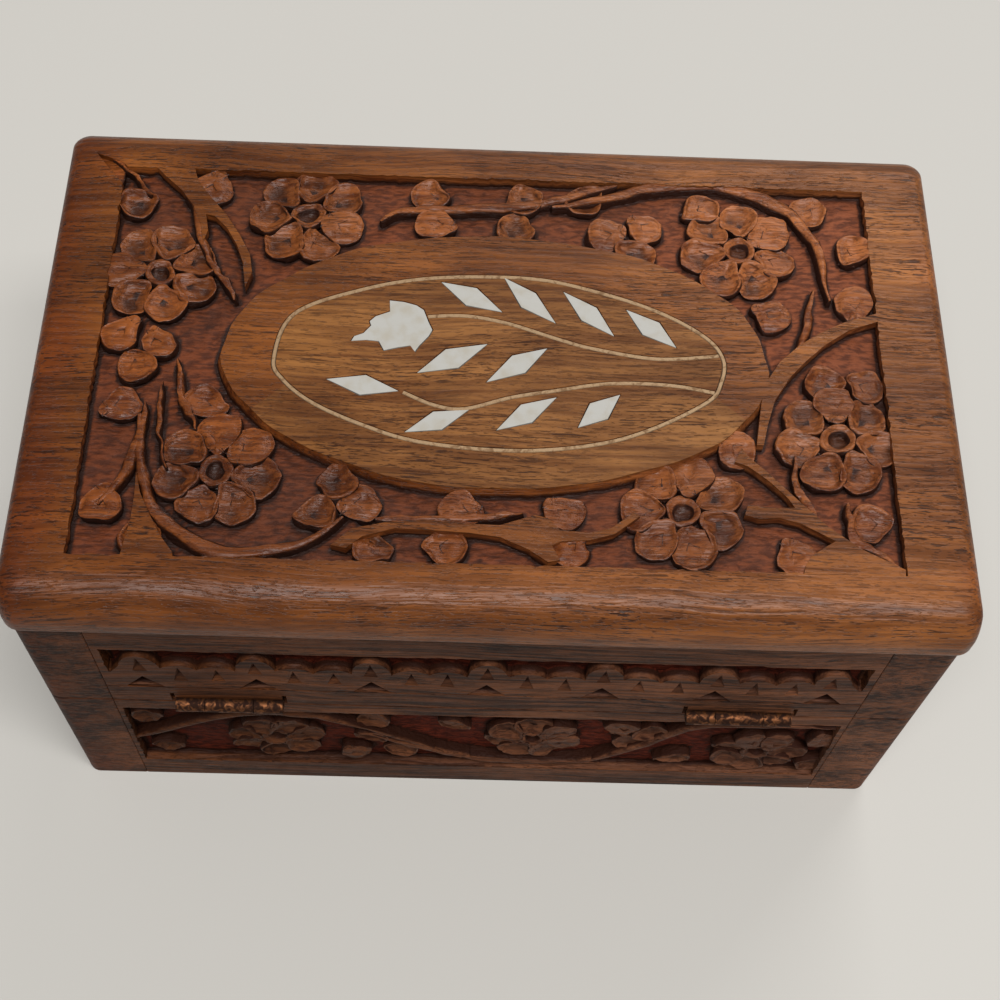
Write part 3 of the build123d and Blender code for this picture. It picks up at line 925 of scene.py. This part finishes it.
pockets = [ridge("ring groove", RING, groove_width, GROOVE, steps=108, ring=True)]
for stem in (UPPER_STEM, LOWER_STEM):
    pockets.append(ridge("stem groove", stem, groove_width, GROOVE, taper=1))
pockets.append(plate("tulip pocket", TULIP, 0.25, -1.5, 1))
for number, length, angle in LEAVES:
    pockets.append(plate("leaf pocket", leaf_corners(number, length, angle), 0.3, -1.5, 1))
for pocket in pockets:
    pocket.data.transform(bench_to_lid)
    pocket.data.materials.append(lid_wood)
    cut(lid_panel, pocket)
print("lid board with pockets:", len(lid_panel.data.polygons), "faces")

# %% [markdown]
# ## Cutting the lid's ground
# The ground block first loses the oval, so that the oval stays standing when the
# block is taken out of the board. The oval's own wall leans out a little, and its
# outline wobbles as a hand-cut line does. The broad leaves that run in from the
# border are uncut wood too: each one is an outline in millimetres. At one far corner
# the knife ran out past the border and left a pointed slip.

# %% Lid ground
UNCUT = [
    [
        (82.1, -52.0), (77.8, -47.4), (73.7, -43.4), (70.5, -38.9), (68.4, -33.8), (67.4, -28.7),
        (66.6, -32.1), (67.5, -36.7), (65.4, -36.2), (62.3, -32.9), (59.6, -28.1), (57.9, -23.4),
        (56.8, -16.6), (55.6, -20.7), (56.5, -25.7), (59.2, -31.0), (62.9, -36.9), (67.1, -41.9),
        (70.3, -46.5), (72.1, -52.4),
    ],
    [
        (75.3, 31.2), (73.9, 36.4), (71.2, 41.7), (68.6, 46.3), (65.7, 50.1), (65.3, 53.7),
        (76.6, 54.0), (76.0, 48.8), (75.1, 43.0), (75.0, 37.1),
    ],
    [
        (-52.8, 21.4), (-54.4, 23.8), (-57.4, 26.6), (-61.4, 30.9), (-65.3, 35.1), (-70.2, 40.1),
        (-76.5, 44.9), (-85.2, 49.4), (-84.9, 52.2), (-63.5, 52.9), (-64.4, 49.2), (-65.9, 46.8),
        (-69.0, 44.6), (-71.2, 43.2), (-68.4, 41.6), (-64.0, 39.2), (-59.8, 38.1), (-55.6, 38.5),
        (-52.5, 37.6), (-53.3, 35.2), (-58.9, 35.8), (-63.2, 35.6), (-61.9, 33.3), (-57.9, 29.1),
        (-53.8, 25.8), (-51.1, 24.9),
    ],
    [
        (-56.1, 20.5), (-57.9, 9.1), (-59.6, 3.8), (-62.6, -1.0), (-67.4, -5.7), (-72.2, -9.1),
        (-78.1, -12.3), (-87.8, -15.7), (-87.6, -13.5), (-79.0, -10.2), (-73.0, -5.9),
        (-68.2, -1.2), (-64.5, 3.1), (-60.8, 9.0), (-58.8, 15.4), (-57.6, 20.5),
    ],
    [
        (33.7, 47.4), (29.5, 43.4), (22.7, 41.8), (14.5, 40.8), (5.1, 41.6), (-1.1, 41.7),
        (-8.4, 39.1), (-11.1, 39.7), (-13.6, 42.4), (-19.8, 42.9), (-24.4, 41.6), (-29.3, 37.7),
        (-30.4, 38.6), (-25.0, 43.0), (-19.8, 44.6), (-14.0, 45.0), (-11.9, 46.0), (-13.6, 49.4),
        (-11.1, 49.9), (-7.0, 47.1), (-1.2, 44.5), (5.1, 43.7), (13.3, 43.3), (20.6, 43.1),
        (27.3, 45.2), (30.6, 48.0),
    ],
]
recess_middle = Vector((1.0, 0.5, 0)) * MM
recess_length = 172.6 * MM
recess_depth = 100.4 * MM
lid_cell = 0.95 * MM
lid_ground = ground_block("lid ground", recess_length, recess_depth, lid_cell, lid_wood, 3)
lid_ground.data.transform(Matrix.Translation(recess_middle))

oval = disc("oval", 96, 0.5)
for corner in oval.data.vertices:
    angle = math.atan2(corner.co.y, corner.co.x)
    wobble = 1 + 0.006 * math.sin(5 * angle + 1) + 0.004 * math.sin(11 * angle)
    wobble += 0.003 * math.sin(23 * angle)
    long = corner.co.x * oval_length * wobble
    deep = corner.co.y * oval_depth * wobble
    corner.co = Vector((long, deep, 5 * MM))
open_piece(oval)
raise_faces(-5 * MM)
raise_faces(-6 * MM)
bpy.ops.transform.resize(value=(1.035, 1.05, 1), center_override=(0, 0, 0))
close_up()
cut(lid_ground, oval)
for outline in UNCUT:
    cut(lid_ground, plate("uncut wood", outline, 0, -6, 5))
run_out = [(94.6, -53.6), (91.4, -49.4), (86.4, -43.5), (84.0, -47.0), (88.4, -51.2)]
knife_slip = plate("knife slip", run_out, 0, -1.4, 1)
knife_slip.data.materials.append(lid_wood)
knife_slip.data.transform(bench_to_lid)
cut(lid_panel, knife_slip)
lid_ground.data.transform(bench_to_lid)
cut(lid_panel, lid_ground)

lid_reach = (recess_length / 2 + 0.9 * MM, recess_depth / 2 + 0.9 * MM, recess_middle)
mark_depth(lid_panel, bench_to_lid, lid_reach)
for face in lid_panel.data.polygons:
    corners = [lid_panel.data.vertices[index].co for index in face.vertices]
    reach = max((c.x / oval_length * 2) ** 2 + (c.y / oval_depth * 2) ** 2 for c in corners)
    if face.normal.z > 0.9 and reach < 1.08 and face.center.z > lid_top - 0.2 * MM:
        face.material_index = 1
print("lid board carved:", len(lid_panel.data.polygons), "faces")

# %% [markdown]
# ## Flowers and vines of the lid
# Six flowers stand round the oval, with buds in threes and single buds between
# them, and vines that sweep in from the corners. Each place is in millimetres from
# the middle of the lid.

# %% Lid carving
LID_FLOWERS = [
    (76.2, -20.5, 0), (44.2, -38.0, 5), (-55.3, -31.8, 10),
    (-74.0, 18.1, 15), (-39.5, 36.6, 0), (58.7, 30.1, 17),
]
LID_BUDS = [
    (82.8, -3.9), (74.3, -2.1), (79.2, 4.3), (-24.9, -35.1), (-33.3, -37.5), (-31.0, -29.9),
    (33.3, 31.4), (37.1, 39.4), (28.2, 37.0), (-72.4, 4.1), (-81.5, 3.8), (66.5, -45.3),
    (83.5, -40.1), (15.9, -44.9), (14.4, -36.6), (-5.4, -44.6), (-20.1, -45.3), (-4.0, -36.0),
    (-46.8, -43.6), (-72.3, -44.3), (-81.5, -32.9), (80.7, 14.6), (62.1, 13.2), (81.8, 38.5),
    (72.9, 45.6), (25.1, 46.4), (10.1, 46.2), (6.6, 38.2), (-14.5, 37.7),
    (-15.9, 46.2), (-51.6, 21.4), (-62.8, 46.4), (-79.2, 38.7), (-80.6, -17.4), (-61.5, -14.1),
]
LID_VINES = [
    ([(91.0, -52.0), (87.0, -49.5), (80.5, -42.0)], 1.8),
    ([(73.0, -42.0), (69.3, -36.0), (66.9, -28.0), (63.5, -21.0), (58.4, -13.5)], 2.6),
    ([(27.6, -36.6), (23.1, -40.0), (13.9, -41.3), (-4.0, -42.6), (-17.0, -46.0), (-27.5, -49.5)], 3.0),
    ([
        (-12.0, -42.5), (-24.0, -45.5), (-38.0, -50.2), (-54.0, -50.5),
        (-66.5, -44.5), (-73.0, -35.0), (-75.0, -18.0),
    ], 3.8),
    ([(-71.5, -21.0), (-69.0, -10.0), (-66.5, -3.5)], 2.2),
    ([(-64.0, 23.0), (-65.0, 31.0), (-69.0, 41.0)], 2.2),
    ([(-74.0, 34.5), (-76.0, 43.0), (-85.0, 49.5)], 2.2),
    ([
        (76.5, 17.5), (75.5, 26.0), (73.5, 33.5), (69.0, 42.5),
        (57.5, 49.0), (46.0, 48.5), (37.5, 45.5), (31.0, 40.0),
    ], 3.2),
    ([(24.5, 40.5), (9.5, 39.9), (-6.0, 38.4)], 2.6),
    ([(70.0, 3.0), (68.0, 10.0), (66.5, 15.0), (64.0, 20.5)], 2.2),
    ([(72.5, 9.0), (72.5, 16.0), (71.5, 21.5), (69.5, 30.5)], 1.8),
    ([(75.5, 14.0), (76.5, 26.0), (78.5, 33.0), (82.5, 39.5)], 2.6),
]


planed = 0.4 * MM
print("vines on the lid:", len(LID_VINES))


def carve_relief(name, parts, material, place):
    """Join bench work, roughen it, keep it under the planed surface and set it in its face."""
    relief = joined(name, parts)
    relief.data.materials.clear()
    relief.data.materials.append(material)
    finish_with(relief, "DISPLACE", texture=wander, strength=2.6 * MM, mid_level=0.5, direction="X")
    finish_with(relief, "DISPLACE", texture=wander, strength=2.2 * MM, mid_level=0.5, direction="Y")
    finish_with(relief, "DISPLACE", texture=chisel, strength=0.7 * MM, mid_level=0.55, direction="Z")
    for corner in relief.data.vertices:
        over = corner.co.z + planed
        if over > 0:
            corner.co.z = -planed * math.exp(-over / planed)
    # Painted highlight on the high rims, painted shade on walls and deep hollows.
    paint_rim_highlight_wall_shade(relief)
    relief.data.transform(place)
    return relief


lid_parts = []
for x, y, turn in LID_FLOWERS:
    lid_parts += set_flower(x, y, turn)
lid_parts += set_buds(LID_BUDS)
for points, width in LID_VINES:
    lid_parts.append(ridge("vine", points, width))
lid_relief = carve_relief("lid relief", lid_parts, lid_wood, bench_to_lid)
# Painted shade on the lid's ground beside the relief and the walls.
paint_shade_beside_walls(lid_panel, lid_relief, bench_to_lid)
print("lid relief:", len(lid_relief.data.polygons), "faces")
lid_panel = joined("carved_lid_panel", [lid_panel, lid_relief])

# %% [markdown]
# ## Smooth faces, sharp edges
# Every carved piece is shaded smooth, except where two faces meet at more than
# forty degrees: that keeps the knife's edges crisp and the scoops soft. Weighted
# normals let each broad face stay flat beside a narrow bevel.


# %% Finish the lid panel
def smooth(piece, degrees=40):
    take(piece)
    bpy.ops.object.shade_smooth_by_angle(angle=math.radians(degrees))
    finish_with(piece, "WEIGHTED_NORMAL", keep_sharp=True)


def place_piece(piece, body, slot, *nodes):
    """Hand a finished piece to the frame."""
    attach(piece, body)
    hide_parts(*nodes)


smooth(lid_panel)
place_piece(lid_panel, "lid", "lid_wood", "lid_top_panel")
print("lid panel triangles:", sum(len(f.vertices) - 2 for f in lid_panel.data.polygons))

# %% [markdown]
# ## Bone and wire
# The plates and wires lie in their pockets, a few hundredths proud of the wood.
# A tiny bevel takes the sharpness off the bone, as sanding does.


# %% Inlay pieces
def inlay(piece, material, slot, node, edge=0.1):
    piece.data.transform(bench_to_lid)
    piece.data.materials.append(material)
    if edge:
        finish_with(piece, "BEVEL", width=edge * MM, segments=2, limit_method="ANGLE")
    smooth(piece)
    place_piece(piece, "lid", slot, node)


def bone_plate(name, corners, node):
    inlay(plate(name, corners, 0, -1.45, 0.03), bone, "bone", node)


bone_plate("tulip_plate", TULIP, "bone_tulip")
for number, length, angle in LEAVES:
    bone_plate(f"leaf_plate_{number}", leaf_corners(number, length, angle), f"bone_leaf_{number}")
ROUTES = {"ring": (RING, 144), "upper_stem": (UPPER_STEM, 48), "lower_stem": (LOWER_STEM, 48)}
for name, (route, steps) in ROUTES.items():
    wire = ridge(f"{name}_wire", route, wire_width, WIRE, 1, steps, name == "ring")
    inlay(wire, wire_brass, "inlay_wire", f"brass_{name}", 0)
print("inlay pieces:", len(LEAVES) + 4)

# %% [markdown]
# ## The side boards
# The lid and the base were one closed box that was sawn in two, so rails and walls
# are the same boards. End boards run the full depth and have a rounded upright
# corner at each end. Long boards fit between them.


# %% Side boards
def side_board(name, node, material, outer_x=None):
    """A board at its node's place, with a rounded corner at each end where it is an end board."""
    low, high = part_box(node)
    piece = block_between(name, low, high)
    piece.data.materials.append(material)
    open_piece(piece)
    if outer_x is not None:
        choose(piece, "EDGE", lambda place, part: upright(part) and abs(place.x - outer_x) < 0.1 * MM)
        bpy.ops.mesh.bevel(offset=3 * MM, segments=8, affect="EDGES")
    let_go()
    finish_with(piece, "BEVEL", width=0.3 * MM, segments=2, limit_method="ANGLE")
    return piece


def floor_rebate():
    """What the base walls lose for the bottom board."""
    low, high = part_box("base_bottom_board")
    drop = Vector((0, 0, 1 * MM))
    return block_between("rebate", low - drop, high)


BOARDS = {}
for part in ("base", "lid"):
    kind = "wall" if part == "base" else "rail"
    for face in bench_to_side:
        node = f"{part}_{face}_{kind}"
        ends = {"left": -half_length, "right": half_length}.get(face)
        wood = side_wood if ends is None else end_wood
        BOARDS[part, face] = side_board(f"carved_{node}", node, wood, ends)
        if part == "base":
            cut(BOARDS[part, face], floor_rebate())
print("boards:", len(BOARDS))

# %% [markdown]
# ## Seats for the hinges
# Each hinge leaf lies in a shallow seat, and its barrel in a slot whose two ends
# were simply sawn, so a short kerf runs past the barrel at either side.


# %% Hinge seats
def grown_box(node, grow, reach=0.0):
    """A block round a node's box, for a seat."""
    low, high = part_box(node)
    spare = Vector((grow, grow, grow)) * MM
    return block_between("seat", low - spare, high + spare + Vector((0, reach * MM, 0)))


leaf_play = 0.1
kerf_width = 1.0 * MM
kerf_depth = 2.6 * MM
kerf_height = 5.6 * MM
for side in ("left", "right"):
    low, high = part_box(f"{side}_hinge_pin")
    for part in ("lid", "base"):
        cut(BOARDS[part, "back"], grown_box(f"{side}_hinge_{part}_leaf", leaf_play, 2))
        room_low = Vector((low.x - leaf_play * MM, high.y - 3.2 * MM, low.z - 1.4 * MM))
        room_high = Vector((high.x + leaf_play * MM, high.y + 3 * MM, high.z + 1.4 * MM))
        cut(BOARDS[part, "back"], block_between("barrel room", room_low, room_high))
    for end, way in ((low.x, -1), (high.x, 1)):
        near, far = sorted((end, end + way * kerf_width))
        kerf_low = Vector((near, half_depth - kerf_depth, low.z - 1 * MM))
        kerf_high = Vector((far, half_depth + 1 * MM, low.z + kerf_height))
        cut(BOARDS["lid", "back"], block_between("kerf", kerf_low, kerf_high))
print("hinge seats cut")

# %% [markdown]
# ## The frieze round the base
# Each base wall has a sunk panel with flowers and one vine that winds over and
# under them. The long walls have three flowers and the ends two.

# %% Base friezes
frieze_foot = 10.7
frieze_top = base_top / MM - 5.3
side_cell = 1.3 * MM
long_frieze = 2 * inner_half_length / MM - 3
end_frieze = 2 * inner_half_depth / MM - 3

LONG_FLOWERS = [(-50.4, 27.1, 12), (12.0, 30.2, 40), (68.0, 24.8, 5)]
LONG_BUDS = [
    (-26.6, 39.4), (-27.1, 28.5), (-31.4, 18.0), (-19.5, 20.7), (-7.4, 38.0), (33.3, 38.4),
    (40.5, 36.2), (36.0, 29.5), (48.0, 18.5), (83.0, 34.0), (83.0, 17.0), (-78.0, 18.5), (-80.0, 39.5),
]
LONG_VINES = [
    ([(-98.0, 17.5), (-83.6, 26.0), (-62.0, 40.5), (-45.6, 43.5), (-28.0, 35.0), (-5.3, 16.5)], 2.6),
    ([(-30.0, 33.0), (-16.0, 24.0), (0.0, 15.2), (18.0, 14.2), (30.2, 15.5)], 2.2),
    ([(-3.0, 17.8), (22.0, 14.5), (38.0, 26.0), (51.2, 41.5), (70.0, 43.5), (84.0, 43.8)], 2.6),
    ([(28.0, 18.0), (36.0, 24.0), (44.0, 34.0)], 1.8),
]
END_FLOWERS = [(-26.0, 26.5, 12), (26.0, 30.5, 40)]
END_BUDS = [
    (-2.0, 39.0), (4.0, 18.5), (-8.0, 29.5), (43.0, 19.0), (-43.0, 39.0), (-44.0, 18.5), (42.5, 41.0),
]
END_VINES = [
    ([
        (-47.0, 26.0), (-36.0, 40.0), (-20.0, 43.0), (-2.0, 30.0),
        (14.0, 16.0), (32.0, 14.5), (47.0, 24.0),
    ], 2.6),
    ([(-2.0, 32.0), (10.0, 26.0), (13.0, 18.0)], 1.8),
]


def sink_panel(board, face, length, foot, top, seed, left_standing=None):
    """Cut a rough sunk ground in a board, round an outline that is left standing."""
    wood = board.data.materials[0]
    block = ground_block("ground", length * MM, (top - foot) * MM, side_cell, wood, seed)
    middle = Vector((0, (foot + top) / 2 * MM, 0))
    block.data.transform(Matrix.Translation(middle))
    if left_standing:
        cut(block, plate("left standing", left_standing, 0, -6, 6))
    block.data.transform(bench_to_side[face])
    cut(board, block)
    reach = ((length / 2 + 1) * MM, ((top - foot) / 2 + 1) * MM, middle)
    mark_depth(board, bench_to_side[face], reach)


def carve_frieze(face, flowers, buds, vines, length):
    board = BOARDS["base", face]
    sink_panel(board, face, length, frieze_foot, frieze_top, len(face))
    parts = []
    for x, y, turn in flowers:
        parts += set_flower(x, y, turn, 7, 7.6, 0.92)
    parts += set_buds(buds, 0.86)
    for points, width in vines:
        parts.append(ridge("vine", points, width))
    relief = carve_relief("relief", parts, board.data.materials[0], bench_to_side[face])
    # Painted shade on the frieze ground beside the relief and the walls.
    paint_shade_beside_walls(board, relief, bench_to_side[face])
    BOARDS["base", face] = joined(board.name, [board, relief])


for face in ("back", "front"):
    carve_frieze(face, LONG_FLOWERS, LONG_BUDS, LONG_VINES, long_frieze)
for face in ("left", "right"):
    carve_frieze(face, END_FLOWERS, END_BUDS, END_VINES, end_frieze)
print("friezes done, height", round(frieze_top - frieze_foot, 1), "mm")

# %% [markdown]
# ## The band round the lid rails
# Above the seam runs a band of petals side by side, with a taller petal over each
# triangular notch. Their faces are the uncut board: the ground is cut away above
# them, and each gets one long pointed nick. A thin line is scribed along their foot.

# %% Petal bands
band_foot = rail_bottom / MM + 8.6
band_row = band_foot + 8.2
band_top = band_foot + 20.4
notch_pitch = 25.7
petal_step = notch_pitch / 3
tall_rise = 4.6
nick_size = (3.8, 9.5, 1.9)
notch_size = (6.8, 5.4, 2.6)


def scallops(rows, length):
    """The outline of a row of petals, in mm: a round top over each place and one straight foot."""
    corners = [(length / 2 + 2, band_row - 4), (-length / 2 - 2, band_row - 4)]
    edges = [-length / 2 - 2] + [(a[0] + b[0]) / 2 for a, b in zip(rows, rows[1:])] + [length / 2 + 2]
    for (x, row), start, end in zip(rows, edges, edges[1:]):
        for step in range(9):
            across = max(start, min(end, x + 4.7 * math.sin(math.radians(-72 + step * 18))))
            if across > corners[-1][0] + 0.05:
                arch = math.sqrt(1 - ((across - x) / 4.8) ** 2)
                corners.append((across, band_row + (row + 4.4 - band_row) * arch))
    return corners


def pointed_nick(x, y, size, taller=0.0, floor=0.0):
    """A three-sided nick with its point up; floor is the size left at its bottom."""
    width, height, depth = size
    let_go()
    bpy.ops.mesh.primitive_cone_add(vertices=3, radius1=1, radius2=floor, depth=1)
    nick = bpy.context.active_object
    nick.data.transform(Matrix.Diagonal((width * MM, (height + taller) * MM, -2 * depth * MM, 1)))
    nick.data.transform(Matrix.Translation((x * MM, y * MM, 0)))
    open_piece(nick)
    bpy.ops.mesh.normals_make_consistent(inside=False)
    let_go()
    return nick


def carve_band(face, length):
    board = BOARDS["lid", face]
    count = int(length / petal_step)
    hand = random.Random(count)
    rows = []
    nicks = []
    for index in range(count):
        x = (index - (count - 1) / 2) * petal_step + hand.uniform(-0.4, 0.4)
        tall = (index - (count - 1) // 2) % 3 == 0
        row = band_row + (tall_rise if tall else 0) + hand.uniform(-0.5, 0.5)
        rows.append((x, row))
        nicks.append(pointed_nick(x, row - 1.6, nick_size, hand.uniform(-1, 1)))
        if tall:
            nicks.append(pointed_nick(x, band_foot + 1.7, notch_size, floor=0.6))
    low = Vector((-length / 2 - 3, band_foot - 0.5, -0.6)) * MM
    high = Vector((length / 2 + 3, band_foot - 0.1, 1)) * MM
    nicks.append(block_between("scribed line", low, high))
    for nick in nicks:
        nick.data.materials.append(board.data.materials[0])
        nick.data.transform(bench_to_side[face])
        cut(board, nick)
    sink_panel(board, face, length, band_row, band_top, 5 + len(face), scallops(rows, length))
    rise = (band_top - band_foot) / 2 + 1
    middle = Vector((0, (band_top + band_foot) / 2 * MM, 0))
    mark_depth(board, bench_to_side[face], (length / 2 * MM, rise * MM, middle))


for face in ("back", "front"):
    carve_band(face, 2 * inner_half_length / MM - 4)
for face in ("left", "right"):
    carve_band(face, 2 * inner_half_depth / MM - 4)
print("bands done from", round(band_foot, 1), "to", round(band_top, 1), "mm")

# %% [markdown]
# ## Handing over the side boards
# With every cut and every flower in place, the eight boards are shaded and handed to
# the frame, each for the node that it dresses.

# %% Finish the side boards
for (part, face), piece in BOARDS.items():
    kind = "wall" if part == "base" else "rail"
    smooth(piece)
    place_piece(piece, part, f"{part}_wood", f"{part}_{face}_{kind}")
triangles = {p.name: sum(len(f.vertices) - 2 for f in p.data.polygons) for p in BOARDS.values()}
print("side boards:", triangles)

# %% [markdown]
# ## Hinges, screws and bottom
# The hinge leaves, pins and the bottom board keep their CAD shape, which is already
# right, and only get their finish. The screws are made anew with slotted heads.


# %% Hinge parts and bottom board
def repaint(node, material):
    part = frame["nodes"][node]
    part.data.materials.clear()
    part.data.materials.append(material)


for side in ("left", "right"):
    for name in ("lid_leaf", "base_leaf", "pin"):
        repaint(f"{side}_hinge_{name}", hinge_brass)
repaint("base_bottom_board", side_wood)


def screw_blank():
    """A countersunk screw pointing down, its head at zero."""
    screw = settle(disc("screw", 16, 0.45 * MM, -7.6 * MM))
    open_piece(screw)
    bpy.ops.transform.resize(value=(0.2, 0.2, 1), center_override=(0, 0, -7.6 * MM))
    for rise, widen in ((1.6, 5), (5.2, 1.55), (0.65, 2.05), (0.1, 1.0)):
        raise_faces(rise * MM)
        bpy.ops.transform.resize(value=(widen, widen, 1), center_override=(0, 0, 0))
    close_up()
    slot_low = Vector((-2, -0.22, -0.5)) * MM
    slot_high = Vector((2, 0.22, 1)) * MM
    return cut(screw, block_between("slot", slot_low, slot_high))


screw = screw_blank()
screw.data.materials.clear()
screw.data.materials.append(hinge_brass)
for part in ("lid", "base"):
    screws = []
    for side in ("left", "right"):
        low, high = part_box(f"{side}_hinge_pin")
        seat = (low + high) / 2
        for offset in (-7, 7):
            turn = Matrix.Rotation(math.radians(40 + 9 * offset), 4, "Z")
            flip = Matrix.Rotation(math.pi if part == "lid" else 0, 4, "X")
            face = base_top if part == "base" else rail_bottom
            spot = Matrix.Translation((seat.x + offset * MM, seat.y - 5.6 * MM, face))
            screws.append(copy_to(screw, spot @ flip @ turn))
    group = joined(f"{part}_screws", screws)
    smooth(group)
    place_piece(group, part, "hinge_brass", f"{part}_hinge_screws")
bpy.data.objects.remove(screw)
print("screws set:", 8)

# %% [markdown]
# ## The lining
# Inside, every face is covered with a card wrapped in red velvet. A thin block gets
# soft rounded edges and a slight waviness.


# %% Velvet linings
def velvet_card(node, body):
    low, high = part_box(node)
    card = block_between(f"velvet_{node}", low, high)
    card.data.materials.append(velvet)
    finish_with(card, "BEVEL", width=0.45 * MM, segments=3, limit_method="ANGLE")
    open_piece(card)
    bpy.ops.mesh.subdivide(number_cuts=6)
    let_go()
    finish_with(card, "DISPLACE", texture=wander, strength=0.12 * MM, mid_level=1.0)
    smooth(card, 60)
    place_piece(card, body, "velvet", node)
    return card


around = ["left", "right", "front", "back"]
linings = [velvet_card(f"base_lining_{place}", "base") for place in ["floor", *around]]
linings += [velvet_card(f"lid_lining_{place}", "lid") for place in ["top", *around]]
print("linings:", len(linings))

# %% [markdown]
# ## Clearing the bench
# The three petals and the eye were only patterns to copy, so they leave the scene.

# %% Put the blanks away
for blank in petal_blanks + [flower_eye]:
    bpy.data.objects.remove(blank)
print("blanks put away")

# %% [markdown]
# ## Table and room
# The box stands on a plain pale table. The room's light is weak and nearly white,
# so that the lamps give the form. Only the camera sees the pale backdrop.

# %% Floor and world
let_go()
bpy.ops.mesh.primitive_plane_add(size=8, location=(0, 0, 0))
floor = bpy.context.active_object
floor.name = "floor"
paper, tree, shader = new_material("pale table")
shader.inputs["Base Color"].default_value = tone(187, 184, 178)
shader.inputs["Roughness"].default_value = 0.85
floor.data.materials.append(paper)

world = bpy.data.worlds.new("soft room")
bpy.context.scene.world = world
world.use_nodes = True
tree = world.node_tree
tree.nodes.clear()
rays = add_node(tree, "ShaderNodeLightPath").outputs
seen = reckon(tree, "MAXIMUM", rays["Is Camera Ray"], rays["Is Transmission Ray"])
room_strength = 0.22
feeds = {"Color": (1.0, 0.985, 0.96, 1), "Strength": room_strength}
room = add_node(tree, "ShaderNodeBackground", feeds).outputs[0]
feeds = {"Color": tone(205, 202, 192), "Strength": 1.0}
backdrop = add_node(tree, "ShaderNodeBackground", feeds).outputs[0]
both = add_node(tree, "ShaderNodeMixShader", {0: seen, 1: room, 2: backdrop}).outputs[0]
add_node(tree, "ShaderNodeOutputWorld", {"Surface": both})
print("room strength", room_strength)

# %% [markdown]
# ## Lamps
# One broad lamp hangs overhead, a little towards the hinges, and puts a soft gloss
# on the rounded edge. Another stands far behind and lights the far border.


# %% Lamps
def soft_lamp(name, place, aim, width, height, watts):
    lamp = bpy.data.lights.new(name, "AREA")
    lamp.shape = "RECTANGLE"
    lamp.size = width
    lamp.size_y = height
    lamp.energy = watts
    holder = bpy.data.objects.new(name, lamp)
    bpy.context.scene.collection.objects.link(holder)
    holder.location = place
    holder.rotation_euler = (Vector(aim) - Vector(place)).to_track_quat("-Z", "Y").to_euler()
    return holder


lid_height = (0, 0, 0.1)
soft_lamp("overhead lamp", (-0.15, 0.66, 2.0), lid_height, width=1.7, height=0.4, watts=49)
soft_lamp("far lamp", (-0.9, -2.1, 1.8), lid_height, width=1.8, height=0.4, watts=26)
print("lamps set")

# %% [markdown]
# ## The camera
# The camera is held where the photograph was taken: above the hinge side, looking
# steeply down. Its place, its turn and its lens were worked out from the box's
# straight edges.

# %% Camera
camera = bpy.data.objects.new("camera", bpy.data.cameras.new("camera"))
bpy.context.scene.collection.objects.link(camera)
camera.data.sensor_width = 36
camera.data.lens = 57.62
held_at = Vector((7.898, 195.286, 401.605)) * MM
pan = math.radians(3.21)
tilt = math.radians(-61.53)
roll = math.radians(4.497)
ahead = Vector((-math.sin(pan) * math.cos(tilt), -math.cos(pan) * math.cos(tilt), math.sin(tilt)))
level = Vector((-math.cos(pan), math.sin(pan), 0))
above = level.cross(ahead)
right = level * math.cos(roll) + above * math.sin(roll)
up = above * math.cos(roll) - level * math.sin(roll)
aim = Matrix((right, up, -ahead)).transposed().to_4x4()
aim.translation = held_at
camera.matrix_world = aim
camera.data.clip_start = 0.01
bpy.context.scene.camera = camera
bpy.context.scene.view_settings.view_transform = "Standard"
print("camera height", round(held_at.z / MM), "mm")
